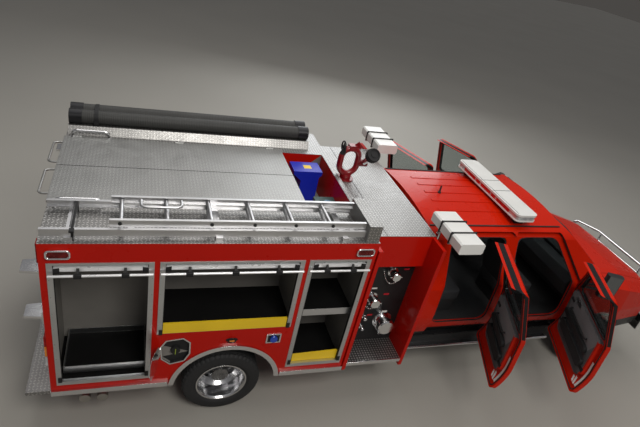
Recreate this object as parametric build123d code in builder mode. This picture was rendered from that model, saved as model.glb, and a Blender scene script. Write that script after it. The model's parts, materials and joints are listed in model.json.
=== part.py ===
from build123d import *
import os

os.makedirs("parts", exist_ok=True)

# Lengths are in millimetres, X points forward, Z up, and the origin lies on the ground
# under the middle of the overall length.

# Chassis stations
wheelbase = 5080
front_reach = 1170  # front axle to the front of the tube guard
tail_reach = 1772  # rear axle to the back edge of the tailboard
rear_axle = tail_reach - (tail_reach + wheelbase + front_reach) / 2
front_axle = rear_axle + wheelbase
seat_gap = 0.3  # between rounded pieces that rest on each other
swing_gap = 12  # round a closed door, hood or lid

# Wheels
tyre_radius = 400
tyre_width = 224
bead_radius = 248
dual_middle = 940
dual_spacing = 270
front_track_half = 930
kingpin_half = 815
kingpin_radius = 14
front_disc = 100  # wheel disc outboard of the front tyre's middle
hub_bore = 40
axle_height = tyre_radius

# Frame
rail_half = 430
rail_flange = 75
rail_web = 10
rail_bottom = 590
rail_top = 800

# Body
body_rear = rear_axle - 1563
body_front = rear_axle + 1294
body_half = 1208
body_bottom = 500
body_top = 2211
skin = 26
core_half = 600  # half width between the side compartments
core_wall = 25
core_floor = 840
deck_plate = 4
deck_top = body_top + deck_plate
arch_radius = 515
arch_height = 430
arch_centre = rear_axle + 20
frame_width = 45
frame_proud = 6
compartment_top = 2028
roll_room = 2180
# columns: name, back edge, front edge, bottom edge of the shutter frame
compartments = (
    ("rear", rear_axle - 1511, rear_axle - 711, 619),
    ("middle", rear_axle - 667, rear_axle + 596, 1195),
    ("front", rear_axle + 638, rear_axle + 1255, 607),
)
rear_shutter = (900, 1750)
rear_shutter_half = 420
bed_front = rear_axle + 712  # front end of the hose bed
bay_rear = rear_axle + 734
bay_front = rear_axle + 1240
tank_top = 1755
green_tower_top = 2000
cover_half = 631
cover_front = rear_axle + 728
cover_rear = body_rear - 10
cover_thickness = 22
cover_bottom = deck_top + seat_gap
cover_hinges = (-1450, -430, 590)  # stations of the hinges, ahead of the rear axle
cover_pin = 4
barrel_length = 90
post_width = 10

# Pump module
pump_rear = rear_axle + 1300
pump_front = rear_axle + 2040
pump_half = 1000
panel_half = 890
pump_top = 2147
pump_brow = 1760  # underside of the overhanging red side panel
pump_bottom = 560
pump_wall = 30
panel_thickness = 6
wing_thickness = 40
trim_proud = 22  # rings and wings beyond the body's side
suction_ahead = 512  # suction inlet ahead of the module's back
suction_height = 905
wing_half = body_half + trim_proud
wing_top = 2130

# Cab
cab_rear = rear_axle + 2150
cab_front = rear_axle + 4800
cab_bottom = 600
belt = 1400
drip = 2050
roof_rise = 55
crown = drip + roof_rise
door_thickness = 46
jamb_gap = 12
cab_wall = 92
waist = 1000  # height of the widest line of the cab's side
sill_half = 905  # half widths of the cab at sill, waist, belt, shoulder and drip rail
cab_half = 1015
belt_half = 992
shoulder_half = 795
drip_half = 650
header = rear_axle + 4040  # top of the windscreen
floor_top = 850
front_hinge = rear_axle + 4420
rear_hinge = rear_axle + 3290
hinge_half = 1022
nose_front = rear_axle + 5890


def block(x, y, z, mode=Mode.ADD):
    """Adds the box that fills three ranges, each given as (low, high)."""
    with Locations(((x[0] + x[1]) / 2, (y[0] + y[1]) / 2, (z[0] + z[1]) / 2)):
        Box(x[1] - x[0], y[1] - y[0], z[1] - z[0], mode=mode)


def pair(side, inner, outer):
    """Gives the (low, high) range between two half widths on one side."""
    return tuple(sorted((side * inner, side * outer)))


def pair_at(middle, side, inner, outer):
    """Gives the (low, high) range between two distances on one side of a station."""
    return tuple(sorted((middle + side * inner, middle + side * outer)))


def rod(start, end, radius, mode=Mode.ADD):
    """Adds a round bar between two points."""
    along = Vector(*end) - Vector(*start)
    with Locations(Plane(origin=start, z_dir=along)):
        Cylinder(radius, along.length, align=(Align.CENTER, Align.CENTER, Align.MIN), mode=mode)


def plate(plane, points, amount, both=False, radius=0, mode=Mode.ADD):
    """Adds a plate with a polygon outline, its corners rounded by the radius."""
    with BuildSketch(plane) as outline:
        with BuildLine():
            Polyline(*points, close=True)
        make_face()
        if radius:
            fillet(outline.vertices(), radius)
    extrude(outline.sketch, amount=amount, both=both, mode=mode)


def pipe(points, radius, bend, close=False, mode=Mode.ADD):
    """Adds a round bar along straight runs with rounded corners."""
    with BuildLine() as path:
        FilletPolyline(*points, radius=bend, close=close)
    with BuildSketch(Plane(origin=path.line @ 0, z_dir=path.line % 0)) as ring:
        Circle(radius)
    sweep(ring.sketch, path=path.line, mode=mode)


def write(piece, name):
    """Labels a finished piece and writes its file."""
    piece.part.label = name
    export_step(piece.part, f"parts/{name}.step")


# Frame rails: two channels with cross members
with BuildPart() as frame_rails:
    for side in (-1, 1):
        rail_back = rear_axle - 1480
        rail_front = rear_axle + 5780
        block((rail_back, rail_front), pair(side, rail_half - rail_web, rail_half), (rail_bottom, rail_top))
        for low in (rail_bottom, rail_top - rail_web):
            block(
                (rail_back, rail_front),
                pair(side, rail_half - rail_flange, rail_half),
                (low, low + rail_web),
            )
    for station in (-1400, -700, 650, 2040, 3100, 3750, 5700):
        middle = rear_axle + station
        block((middle - 40, middle + 40), (-rail_half + rail_web, rail_half - rail_web), (640, 720))
write(frame_rails, "frame_rails")

# Engine: one plain block at its real size
engine_rear = cab_front + 20
engine_front = engine_rear + 830
with BuildPart() as engine_block:
    block((engine_rear, engine_front), (-300, 300), (560, 1150))
write(engine_block, "engine_block")

# Drive line: gearbox, shafts, and the pump with its suction pipe
shaft_height = 540
gearbox_height = 600
gearbox_radius = 140
gearbox_rear = engine_rear - 700
shaft_radius = 45
differential_radius = 170
pump_middle = pump_rear + suction_ahead
suction_radius = 75
with BuildPart() as drive_line:
    rod((engine_rear, 0, gearbox_height), (gearbox_rear, 0, gearbox_height), gearbox_radius)
    rod((gearbox_rear + 5, 0, gearbox_height), (pump_middle, 0, shaft_height), shaft_radius)
    block((pump_middle - 150, pump_middle + 150), (-160, 160), (460, 1050))
    rod(
        (pump_middle, 0, shaft_height),
        (rear_axle + differential_radius + 1, 0, axle_height + 10),
        shaft_radius,
    )
    pipe_end = panel_half - pump_wall
    rod((pump_middle, -pipe_end, suction_height), (pump_middle, pipe_end, suction_height), suction_radius)
write(drive_line, "drive_line")

# Exhaust: a pipe inside the rails with its silencer, and twin tips on the right behind the wheel
exhaust_line = -260
exhaust_radius = 38
tip_height = 350
tip_reach = 1174
with BuildPart() as exhaust:
    pipe(
        (
            (rear_axle + 4500, exhaust_line, 500),
            (rear_axle + 500, exhaust_line, 500),
            (rear_axle + 150, exhaust_line, 545),
            (rear_axle - 200, exhaust_line, 545),
            (rear_axle - 900, exhaust_line, 400),
            (rear_axle - 1135, -420, tip_height),
            (rear_axle - 1135, -tip_reach, tip_height),
        ),
        exhaust_radius,
        90,
    )
    rod((rear_axle + 2150, exhaust_line, 500), (rear_axle + 3050, exhaust_line, 500), 88)
    rod((rear_axle - 1135, -560, tip_height), (rear_axle - 1290, -620, tip_height), exhaust_radius)
    rod((rear_axle - 1290, -600, tip_height), (rear_axle - 1290, -tip_reach, tip_height), exhaust_radius)
    for ahead in (-1135, -1290):
        at = rear_axle + ahead
        rod((at, -tip_reach + 150, tip_height), (at, -tip_reach, tip_height), 50)
    # hangers up to the frame
    for ahead in (-1000, 700, 2100, 3900):
        at = rear_axle + ahead
        low = 500 if ahead > 0 else 440
        block((at - 12, at + 12), (exhaust_line - 10, exhaust_line + 10), (low, 600))
        block((at - 12, at + 12), (-rail_half + rail_web, exhaust_line - 10), (rail_bottom + rail_web, 612))
write(exhaust, "exhaust")

# Axles with leaf springs
spring_half = 480
with BuildPart() as rear_axle_beam:
    rod((rear_axle, -dual_middle + 20, axle_height), (rear_axle, dual_middle - 20, axle_height), hub_bore - seat_gap)
    rod((rear_axle, -640, axle_height), (rear_axle, 640, axle_height), 62)
    with Locations((rear_axle, 0, axle_height)):
        Sphere(170)
    for side in (-1, 1):
        for leaf, reach in ((0, 640), (1, 500), (2, 360)):
            low = axle_height + 62 + 14 * leaf
            block(
                (rear_axle - reach, rear_axle + reach),
                pair(side, spring_half - 35, spring_half + 35),
                (low, low + 14),
            )
        for end in (-620, 620):
            block(
                (rear_axle + end - 25, rear_axle + end + 25),
                pair(side, rail_half, spring_half + 35),
                (axle_height + 76, rail_bottom + 60),
            )
write(rear_axle_beam, "rear_axle")

with BuildPart() as front_axle_beam:
    block((front_axle - 45, front_axle + 45), (-620, 620), (axle_height - 130, axle_height - 40))
    for side in (-1, 1):
        block(
            (front_axle - 45, front_axle + 45),
            pair(side, 560, kingpin_half - 45),
            (axle_height - 70, axle_height + 20),
        )
        block(
            (front_axle - 30, front_axle + 30),
            pair(side, kingpin_half - 45, kingpin_half + 25),
            (axle_height - 45, axle_height + 20),
        )
        rod(
            (front_axle, side * kingpin_half, axle_height - 46),
            (front_axle, side * kingpin_half, axle_height + 21),
            kingpin_radius + seat_gap,
            mode=Mode.SUBTRACT,
        )
        for leaf, reach in ((0, 600), (1, 420)):
            low = axle_height + 20 + 14 * leaf
            block(
                (front_axle - reach, front_axle + reach),
                pair(side, spring_half + 70 - 30, spring_half + 70 + 30),
                (low, low + 14),
            )
        for end in (-580, 580):
            block(
                (front_axle + end - 25, front_axle + end + 25),
                pair(side, rail_half, spring_half + 100),
                (axle_height + 34, rail_bottom + 60),
            )
write(front_axle_beam, "front_axle")

# Steering knuckles: a fork round the axle end, with the stub that carries the wheel
fork_gap = seat_gap
for name, side in (("right", -1), ("left", 1)):
    with BuildPart() as knuckle:
        for low, high in (
            (axle_height - 45 - fork_gap - 35, axle_height - 45 - fork_gap),
            (axle_height + 20 + fork_gap, axle_height + 20 + fork_gap + 35),
        ):
            block((front_axle - 30, front_axle + 30), pair(side, kingpin_half - 28, kingpin_half + 60), (low, high))
        block(
            (front_axle - 60, front_axle + 60),
            pair(side, kingpin_half + 40, kingpin_half + 60),
            (axle_height - 81, axle_height + 56),
        )
        rod(
            (front_axle, side * kingpin_half, axle_height - 81),
            (front_axle, side * kingpin_half, axle_height + 56),
            kingpin_radius,
        )
        rod(
            (front_axle, side * (kingpin_half + 60), axle_height),
            (front_axle, side * (front_track_half + front_disc - 40), axle_height),
            hub_bore - seat_gap,
        )
    write(knuckle, f"knuckle_{name}")


def tyre_section(centre, width):
    """Outline of a tyre from bead to tread, at its middle plane."""
    half = width / 2
    with BuildSketch(Plane.XZ) as section:
        with BuildLine():
            Polyline(
                (centre - half + 24, bead_radius + seat_gap),
                (centre - half + 24, bead_radius + 14),
                (centre - half + 2, bead_radius + 40),
                (centre - half, tyre_radius - 72),
                (centre - half + 8, tyre_radius - 24),
                (centre - half + 26, tyre_radius - 3),
                (centre - half + 50, tyre_radius),
                (centre + half - 50, tyre_radius),
                (centre + half - 26, tyre_radius - 3),
                (centre + half - 8, tyre_radius - 24),
                (centre + half, tyre_radius - 72),
                (centre + half - 2, bead_radius + 40),
                (centre + half - 24, bead_radius + 14),
                (centre + half - 24, bead_radius + seat_gap),
                close=True,
            )
        make_face()
    return section.sketch


def rim_section(points):
    """Outline of a rim, given as (offset across, radius) pairs."""
    with BuildSketch(Plane.XZ) as section:
        with BuildLine():
            Polyline(*points, close=True)
        make_face()
    return section.sketch


def turned(face):
    """Revolves an outline drawn in (across, radius) into a ring about the X axis."""
    with BuildPart() as ring:
        revolve(face, axis=Axis.X)
    return ring.part


def on_axle(station, offset):
    """Turns a ring about X so that it lies on an axle at a Y offset."""
    return Location((station, offset, axle_height)) * Location((0, 0, 0), (0, 0, 90))


rim_half = tyre_width / 2 - 20
disc_holes = 8
disc_hole_ring = 150
disc_hole_radius = 21


def rim(disc_at, side):
    """A wheel rim with its disc at an offset from the tyre's middle."""
    barrel = (
        (-rim_half - 6, bead_radius - 4),
        (-rim_half - 6, bead_radius + 12),
        (-rim_half + 2, bead_radius + 12),
        (-rim_half + 2, bead_radius),
        (rim_half - 2, bead_radius),
        (rim_half - 2, bead_radius + 12),
        (rim_half + 6, bead_radius + 12),
        (rim_half + 6, bead_radius - 4),
        (rim_half - 12, bead_radius - 16),
        (-rim_half + 12, bead_radius - 16),
    )
    out = 1 if disc_at * side > 0 else -1
    face = disc_at * side
    dish = (
        (out * (rim_half - 40), bead_radius - 6),
        (out * (rim_half - 14), bead_radius - 6),
        (face + out * 6, disc_hole_ring + 48),
        (face + out * 8, disc_hole_ring + 12),
        (face + out * 8, 0),
        (face - out * 8, 0),
        (face - out * 8, disc_hole_ring + 4),
        (face - out * 10, disc_hole_ring + 40),
    )
    with BuildPart() as wheel:
        add(turned(rim_section(barrel)))
        add(turned(rim_section(dish)))
        with Locations(Plane(origin=(face - out * 60, 0, 0), z_dir=(out, 0, 0))):
            with PolarLocations(disc_hole_ring + 20, disc_holes):
                Cylinder(disc_hole_radius, 120, align=(Align.CENTER, Align.CENTER, Align.MIN), mode=Mode.SUBTRACT)
    return wheel.part


for name, side in (("right", -1), ("left", 1)):
    with BuildPart() as front_tyre:
        add(on_axle(front_axle, side * front_track_half) * turned(tyre_section(0, tyre_width)))
    write(front_tyre, f"front_tyre_{name}")

    with BuildPart() as front_rim:
        add(on_axle(front_axle, side * front_track_half) * rim(front_disc, side))
        hub_back = side * (kingpin_half + 66)
        hub_face = side * (front_track_half + front_disc)
        rod((front_axle, hub_back, axle_height), (front_axle, hub_face, axle_height), 92)
        rod((front_axle, hub_face, axle_height), (front_axle, hub_face + side * 62, axle_height), 66)
        rod(
            (front_axle, hub_back, axle_height),
            (front_axle, hub_face - side * 38, axle_height),
            hub_bore,
            mode=Mode.SUBTRACT,
        )
    write(front_rim, f"front_rim_{name}")

    with BuildPart() as rear_tyres:
        for shift in (-0.5, 0.5):
            at = side * (dual_middle + shift * dual_spacing)
            add(on_axle(rear_axle, at) * turned(tyre_section(0, tyre_width)))
    write(rear_tyres, f"rear_tyres_{name}")

    with BuildPart() as rear_rims:
        inner = side * (dual_middle - dual_spacing / 2)
        outer = side * (dual_middle + dual_spacing / 2)
        add(on_axle(rear_axle, inner) * rim(dual_spacing / 2 - 8, side))
        add(on_axle(rear_axle, outer) * rim(-dual_spacing / 2 + 8, side))
        rod(
            (rear_axle, side * (dual_middle - 240), axle_height),
            (rear_axle, side * (dual_middle + 130), axle_height),
            88,
        )
        rod(
            (rear_axle, side * (dual_middle - 250), axle_height),
            (rear_axle, side * (dual_middle - 16), axle_height),
            hub_bore,
            mode=Mode.SUBTRACT,
        )
    write(rear_rims, f"rear_rims_{name}")

# Fuel filler's recess, an octagon as (station, height)
cup_wall = 8
fuel_outline = tuple(
    (rear_axle + ahead, height)
    for ahead, height in (
        (-620, 1020), (-575, 1095), (-430, 1115), (-370, 1060), (-365, 920), (-410, 830), (-530, 800), (-605, 870)
    )
)

# Body shell: side boxes hung outside the frame, joined by a floor over it
with BuildPart() as body_shell:
    plate(
        Plane.YZ.offset(body_rear),
        (
            (-body_half, body_bottom),
            (-core_half, body_bottom),
            (-core_half, rail_top),
            (core_half, rail_top),
            (core_half, body_bottom),
            (body_half, body_bottom),
            (body_half, body_top),
            (-body_half, body_top),
        ),
        body_front - body_rear,
    )
    core = (-core_half, core_half)
    block((body_rear + 40, bay_front), core, (core_floor, tank_top), mode=Mode.SUBTRACT)
    block((body_rear + 40, bed_front), core, (tank_top, body_top), mode=Mode.SUBTRACT)
    block((bay_rear, bay_front), core, (tank_top, body_top), mode=Mode.SUBTRACT)
    for side in (-1, 1):
        for _, back, front, bottom in compartments:
            block(
                (back, front),
                pair(side, core_half + core_wall, body_half - skin),
                (bottom, roll_room),
                mode=Mode.SUBTRACT,
            )
            block(
                (back, front),
                pair(side, body_half - skin, body_half),
                (bottom, compartment_top),
                mode=Mode.SUBTRACT,
            )
        house_top = compartments[1][3] - 28
        house = pair(side, core_half - 1, body_half - skin)
        block(
            (arch_centre - arch_radius - 28, arch_centre + arch_radius + 28),
            house,
            (body_bottom, house_top),
            mode=Mode.SUBTRACT,
        )
        arch = pair(side, body_half - skin, body_half)
        block(
            (arch_centre - arch_radius, arch_centre + arch_radius),
            arch,
            (body_bottom, body_bottom + 40),
            mode=Mode.SUBTRACT,
        )
        rod(
            (arch_centre, side * (body_half - skin), arch_height),
            (arch_centre, side * body_half, arch_height),
            arch_radius,
            mode=Mode.SUBTRACT,
        )
    # fuel filler's recess on the right: a hole in the skin with a cup behind it
    plate(Plane.XZ.offset(body_half - skin), fuel_outline, skin, mode=Mode.SUBTRACT)
    with BuildSketch(Plane.XZ.offset(body_half - skin - cup_wall)) as cup:
        with BuildLine():
            Polyline(*fuel_outline, close=True)
        make_face()
        offset(amount=12, kind=Kind.INTERSECTION)
    extrude(cup.sketch, amount=cup_wall)
    # recess of the closed rear shutter
    block(
        (body_rear, body_rear + 22),
        (-rear_shutter_half, rear_shutter_half),
        rear_shutter,
        mode=Mode.SUBTRACT,
    )
write(body_shell, "body_shell")

# Shutter frames: satin rings let into the skin, and one round the rear shutter
with BuildPart() as shutter_frames:
    for side in (-1, 1):
        for place, back, front, bottom in compartments:
            depth = pair(side, body_half - skin, body_half + frame_proud)
            low_bar = 0 if place == "middle" else frame_width
            block((back, front), depth, (bottom, compartment_top))
            block(
                (back + frame_width, front - frame_width),
                depth,
                (bottom + low_bar, compartment_top - frame_width / 2),
                mode=Mode.SUBTRACT,
            )
    low, high = rear_shutter
    for grow, mode in ((35, Mode.ADD), (-8, Mode.SUBTRACT)):
        block(
            (body_rear - frame_proud, body_rear),
            (-rear_shutter_half - grow, rear_shutter_half + grow),
            (low - grow, high + grow),
            mode=mode,
        )
write(shutter_frames, "shutter_frames")

# Shutters: rolled up on drums behind the header, the rear one closed
roll_radius = 68
slat_pitch = 36
curtain_low = 1942
curtain_bar = 38
lift_height = 1922
lift_radius = 11
with BuildPart() as shutters:
    for side in (-1, 1):
        for _, back, front, bottom in compartments:
            left_end = back + frame_width + 3
            right_end = front - frame_width - 3
            axis_y = side * (body_half - skin - roll_radius - 6)
            rod((back, axis_y, 2104), (front, axis_y, 2104), roll_radius)
            block(
                (left_end, right_end),
                pair(side, body_half - skin - 20, body_half - skin - 6),
                (1935, 2104),
            )
            bar = (curtain_low, curtain_low + curtain_bar)
            block((left_end, right_end), pair(side, body_half - skin - 20, body_half + 2), bar)
            for at in (left_end + 22, right_end - 22):
                block((at - 22, at + 22), pair(side, body_half + 2, body_half + 12), (bar[0] - 8, bar[1]))
            # lift rail in front of the frame, on brackets
            rail_y = side * (body_half + 36)
            rod((back + 8, rail_y, lift_height), (front - 8, rail_y, lift_height), lift_radius)
            span = right_end - left_end
            count = 2 if span < 800 else 3
            for step in range(count):
                at = left_end + span * (step + 0.5) / count
                plate(
                    Plane.YZ.offset(at - 11),
                    (
                        (side * (body_half + 1), bar[0] + 4),
                        (side * (body_half + 30), lift_height - 7),
                        (side * (body_half + 44), lift_height + 4),
                        (side * (body_half + 1), bar[1] - 4),
                    ),
                    22,
                )
    low, high = rear_shutter
    for slat in range(int((high - low) / slat_pitch)):
        at = low + slat * slat_pitch
        block((body_rear + 8, body_rear + 12), (-rear_shutter_half, rear_shutter_half), (at, at + slat_pitch - 3))
    block((body_rear + 12, body_rear + 22), (-rear_shutter_half, rear_shutter_half), rear_shutter)
write(shutters, "shutters")

# Compartment trays: a slide-out tray in the rear, yellow lips on the others, and the front shelf
# columns: compartment, bottom and top of the lip, its outer face; the lip stands between the frame's bars
lip_rows = {"rear": (668, 754, 1120), "middle": (1197, 1310, 1206), "front": (632, 762, 1178)}
mat_thickness = 25
lip_thickness = 5
shelf_low = 1284
shelf_lip = 1367
shelf_face = 1160
with BuildPart() as compartment_trays:
    for side in (-1, 1):
        for place, back, front, bottom in compartments:
            inner = core_half + core_wall
            low, high, face = lip_rows[place]
            ends = (back + frame_width + 2, front - frame_width - 2)
            block((back, front), pair(side, inner, body_half - skin - 2), (bottom, bottom + mat_thickness))
            if place == "rear":
                # the tray slides on two runners and has a rim all round
                for at in (ends[0] + 60, ends[1] - 60):
                    block((at - 20, at + 20), pair(side, inner + 20, face - 30), (bottom + mat_thickness, low))
                block(ends, pair(side, inner + 10, face), (low, high))
                block(
                    (ends[0] + lip_thickness, ends[1] - lip_thickness),
                    pair(side, inner + 10 + lip_thickness, face - lip_thickness),
                    (low + 20, high),
                    mode=Mode.SUBTRACT,
                )
            else:
                if place == "middle":
                    block(
                        ends,
                        pair(side, body_half - skin - 2, face),
                        (bottom + seat_gap, bottom + mat_thickness),
                    )
                block(ends, pair(side, face - lip_thickness, face), (low, high))
                block(ends, pair(side, face - 22, face), (high - lip_thickness, high))
        _, back, front, _ = compartments[2]
        block((back, front), pair(side, core_half + core_wall, shelf_face), (shelf_low, shelf_low + mat_thickness))
        block((back, front), pair(side, shelf_face - lip_thickness, shelf_face), (shelf_low, shelf_lip))
write(compartment_trays, "compartment_trays")

# Water tank with the fill towers that stand in the bay
with BuildPart() as tank:
    block((body_rear + 42, bay_front - 2), (-core_half + 2, core_half - 2), (core_floor, tank_top))
    # the water tower flares under its lid, the foam tower is plain
    plate(
        Plane.XZ.offset(-490),
        (
            (rear_axle + 914, tank_top),
            (rear_axle + 1130, tank_top),
            (rear_axle + 1130, 2085),
            (rear_axle + 1160, 2120),
            (rear_axle + 1160, 2160),
            (rear_axle + 818, 2160),
            (rear_axle + 818, 2120),
            (rear_axle + 914, 2040),
        ),
        240,
    )
    block((rear_axle + 1000, rear_axle + 1236), (-270, -30), (green_tower_top - 40, green_tower_top))
    block((rear_axle + 1020, rear_axle + 1220), (-250, -50), (tank_top, green_tower_top - 40))
    rod((rear_axle + 1122, -184, green_tower_top), (rear_axle + 1122, -184, green_tower_top + 30), 42)
write(tank, "tank")

# Hose bed covers, each hinged at its outer edge, with a bar handle at the back
hinge_line = cover_bottom + cover_thickness
for name, side in (("right", -1), ("left", 1)):
    with BuildPart() as cover:
        block(
            (cover_rear, cover_front),
            pair(side, 3, cover_half),
            (cover_bottom, cover_bottom + cover_thickness),
        )
        for ahead in cover_hinges:
            at = rear_axle + ahead
            # notches for the posts, then the barrel with its bore
            for reach in (-barrel_length / 2 - post_width - 2, barrel_length / 2):
                block(
                    (at + reach, at + reach + post_width + 2),
                    pair(side, cover_half - 14, cover_half),
                    (cover_bottom, hinge_line),
                    mode=Mode.SUBTRACT,
                )
            ends = (at - barrel_length / 2, at + barrel_length / 2)
            rod((ends[0], side * cover_half, hinge_line), (ends[1], side * cover_half, hinge_line), 8)
            rod(
                (ends[0], side * cover_half, hinge_line),
                (ends[1], side * cover_half, hinge_line),
                cover_pin + seat_gap,
                mode=Mode.SUBTRACT,
            )
        low = cover_bottom + cover_thickness / 2
        near, far = (75, 500)
        reach = 78
        pipe(
            (
                (cover_rear + 1, side * near, low),
                (cover_rear - reach, side * near, low),
                (cover_rear - reach, side * far, low),
                (cover_rear + 1, side * far, low),
            ),
            10,
            40,
        )
    write(cover, f"hosebed_cover_{name}")

# Tread plates: top decks, pump steps and tailboard
step_top = 600
with BuildPart() as tread_plates:
    for side in (-1, 1):
        block((body_rear, body_front), pair(side, core_half, body_half), (body_top, deck_top))
        block(
            (pump_rear + wing_thickness, pump_front - wing_thickness),
            pair(side, panel_half + panel_thickness, wing_half),
            (step_top - 40, step_top),
        )
        for ahead in cover_hinges:
            at = rear_axle + ahead
            height = cover_bottom + cover_thickness
            reach = barrel_length / 2 + 1
            for low in (at - reach - post_width, at + reach):
                block(
                    (low, low + post_width),
                    pair(side, cover_half - 8, cover_half + 8),
                    (deck_top, height + 6),
                )
            rod((at - reach, side * cover_half, height), (at + reach, side * cover_half, height), cover_pin)
    block((bay_front, body_front), (-core_half, core_half), (body_top, deck_top))
    block((pump_rear, pump_front), (-pump_half, pump_half), (pump_top - deck_plate, pump_top))
    block((rear_axle - tail_reach, body_rear), (-body_half, body_half), (body_bottom + 10, body_bottom + 50))
write(tread_plates, "tread_plates")

# Body trim: rub rails, arch rings and fuel door
arch_trim = 50
fuel_rim = 14
flap_open = 110


def arch_ring(side):
    """The bright ring round a wheel arch, cut off at the rub rail's underside."""
    with BuildPart() as ring:
        for radius, mode in ((arch_radius + arch_trim, Mode.ADD), (arch_radius, Mode.SUBTRACT)):
            rod(
                (arch_centre, side * body_half, arch_height),
                (arch_centre, side * (body_half + trim_proud), arch_height),
                radius,
                mode=mode,
            )
        reach = arch_radius + arch_trim
        block(
            (arch_centre - reach, arch_centre + reach),
            pair(side, body_half, body_half + trim_proud),
            (arch_height - reach, body_bottom),
            mode=Mode.SUBTRACT,
        )
    return ring.part


with BuildPart() as body_trim:
    for side in (-1, 1):
        for back, front in (
            (body_rear, arch_centre - arch_radius - arch_trim),
            (arch_centre + arch_radius + arch_trim, body_front),
        ):
            block((back, front), pair(side, body_half, body_half + 26), (body_bottom, body_bottom + 60))
        add(arch_ring(side))
    # on the right the fuel recess has a bright frame, a cap and a flap that hangs open
    rim_plane = Plane.XZ.offset(body_half)
    with BuildSketch(rim_plane) as frame_face:
        with BuildLine():
            Polyline(*fuel_outline, close=True)
        make_face()
        offset(amount=fuel_rim, kind=Kind.INTERSECTION)
        with BuildLine():
            Polyline(*fuel_outline, close=True)
        make_face(mode=Mode.SUBTRACT)
    extrude(frame_face.sketch, amount=7)
    rod(
        (rear_axle - 490, -body_half + skin, 960),
        (rear_axle - 490, -body_half + 4, 960),
        45,
    )
    flap_line = Axis((rear_axle - 632, -body_half - 10, 0), (0, 0, 1))
    with BuildPart(mode=Mode.PRIVATE) as flap:
        plate(Plane.XZ.offset(body_half + 8), fuel_outline, 4)
        rod((rear_axle - 632, -body_half - 10, 900), (rear_axle - 632, -body_half - 10, 1010), 5)
        block((rear_axle - 632, rear_axle - 600), (-body_half - 12, -body_half - 8), (900, 1010))
    add(flap.part.rotate(flap_line, -flap_open))
    # filler plate with its round cap
    with Locations(Plane(origin=(rear_axle + 447, -body_half, 1047), x_dir=(1, 0, 0), z_dir=(0, -1, 0))):
        Box(150, 120, 8, align=(Align.CENTER, Align.CENTER, Align.MIN))
        Cylinder(38, 26, align=(Align.CENTER, Align.CENTER, Align.MIN))
write(body_trim, "body_trim")

# Light masts stand between the pump module and the cab
mast_x = rear_axle + 2095
mast_y = pump_half - 65
mast_radius = 24
mast_low = 1150

# Grab rails beside the covers, folding steps and rails on the back
with BuildPart() as grab_rails:
    for side in (-1, 1):
        y = side * (cover_half + 44)
        pipe(
            (
                (rear_axle - 1500, y, deck_top),
                (rear_axle - 1500, y, deck_top + 70),
                (rear_axle - 1150, y, deck_top + 70),
                (rear_axle - 1150, y, deck_top),
            ),
            14,
            40,
        )
        for across, height in ((1060, 1885), (1110, 1450)):
            plate(
                Plane.XY.offset(height - 12),
                (
                    (body_rear, side * (across - 90)),
                    (body_rear - 150, side * (across - 70)),
                    (body_rear - 150, side * (across + 70)),
                    (body_rear, side * (across + 90)),
                ),
                24,
            )
            block(
                (body_rear - 12, body_rear),
                pair(side, across - 95, across + 95),
                (height - 60, height + 60),
            )
    # outer tubes of the light masts, clipped to the pump module
    for side in (-1, 1):
        rod((mast_x, side * mast_y, mast_low), (mast_x, side * mast_y, pump_top), mast_radius)
        for height in (mast_low + 150, pump_top - 97):
            block(
                (pump_front, mast_x),
                pair(side, mast_y - 15, mast_y + 15),
                (height - 15, height + 15),
            )
        rod(
            (mast_x, side * mast_y, mast_low + 20),
            (mast_x, side * mast_y, pump_top + 1),
            mast_radius - 5,
            mode=Mode.SUBTRACT,
        )
write(grab_rails, "grab_rails")

# Pump module: a red house open below, its side panels set back under a brow
with BuildPart() as pump_house:
    block((pump_rear, pump_front), (-pump_half, pump_half), (pump_brow, pump_top - deck_plate))
    block((pump_rear, pump_front), (-panel_half, panel_half), (pump_bottom, pump_brow))
    block(
        (pump_rear + pump_wall, pump_front - pump_wall),
        (-panel_half + pump_wall, panel_half - pump_wall),
        (pump_bottom, pump_top - deck_plate - pump_wall),
        mode=Mode.SUBTRACT,
    )
    block(
        (pump_rear, pump_front),
        (-rail_half, rail_half),
        (pump_bottom, rail_top),
        mode=Mode.SUBTRACT,
    )
    for side in (-1, 1):
        for low in (pump_rear, pump_front - wing_thickness):
            block((low, low + wing_thickness), pair(side, panel_half, wing_half), (body_bottom, wing_top))
write(pump_house, "pump_house")

# Pump panels with suction inlets, discharges and drains, each with its cap
# columns: distance ahead of the module's back, height, radius of the cap, reach, lugs
ports = (
    (suction_ahead, suction_height, 100, 150, 3),
    (289, 1255, 60, 125, 2),
    (444, 1610, 52, 115, 2),
    (274, 964, 22, 55, 0),
    (279, 809, 22, 55, 0),
)


def port(radius, reach, lugs):
    """A flanged outlet with its cap and lugs, turned about the Z axis."""
    with BuildPart() as fitting:
        with BuildSketch(Plane.XZ):
            with BuildLine():
                Polyline(
                    (0, 0),
                    (radius * 1.15, 0),
                    (radius * 1.15, 10),
                    (radius * 0.8, 14),
                    (radius * 0.8, reach * 0.55),
                    (radius, reach * 0.58),
                    (radius, reach * 0.92),
                    (radius * 0.86, reach),
                    (0, reach),
                    close=True,
                )
            make_face()
        revolve(axis=Axis.Z)
        if lugs:
            with Locations((0, 0, reach * 0.75)):
                with PolarLocations(radius + 6, lugs):
                    Box(26, 14, reach * 0.26)
    return fitting.part


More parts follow.
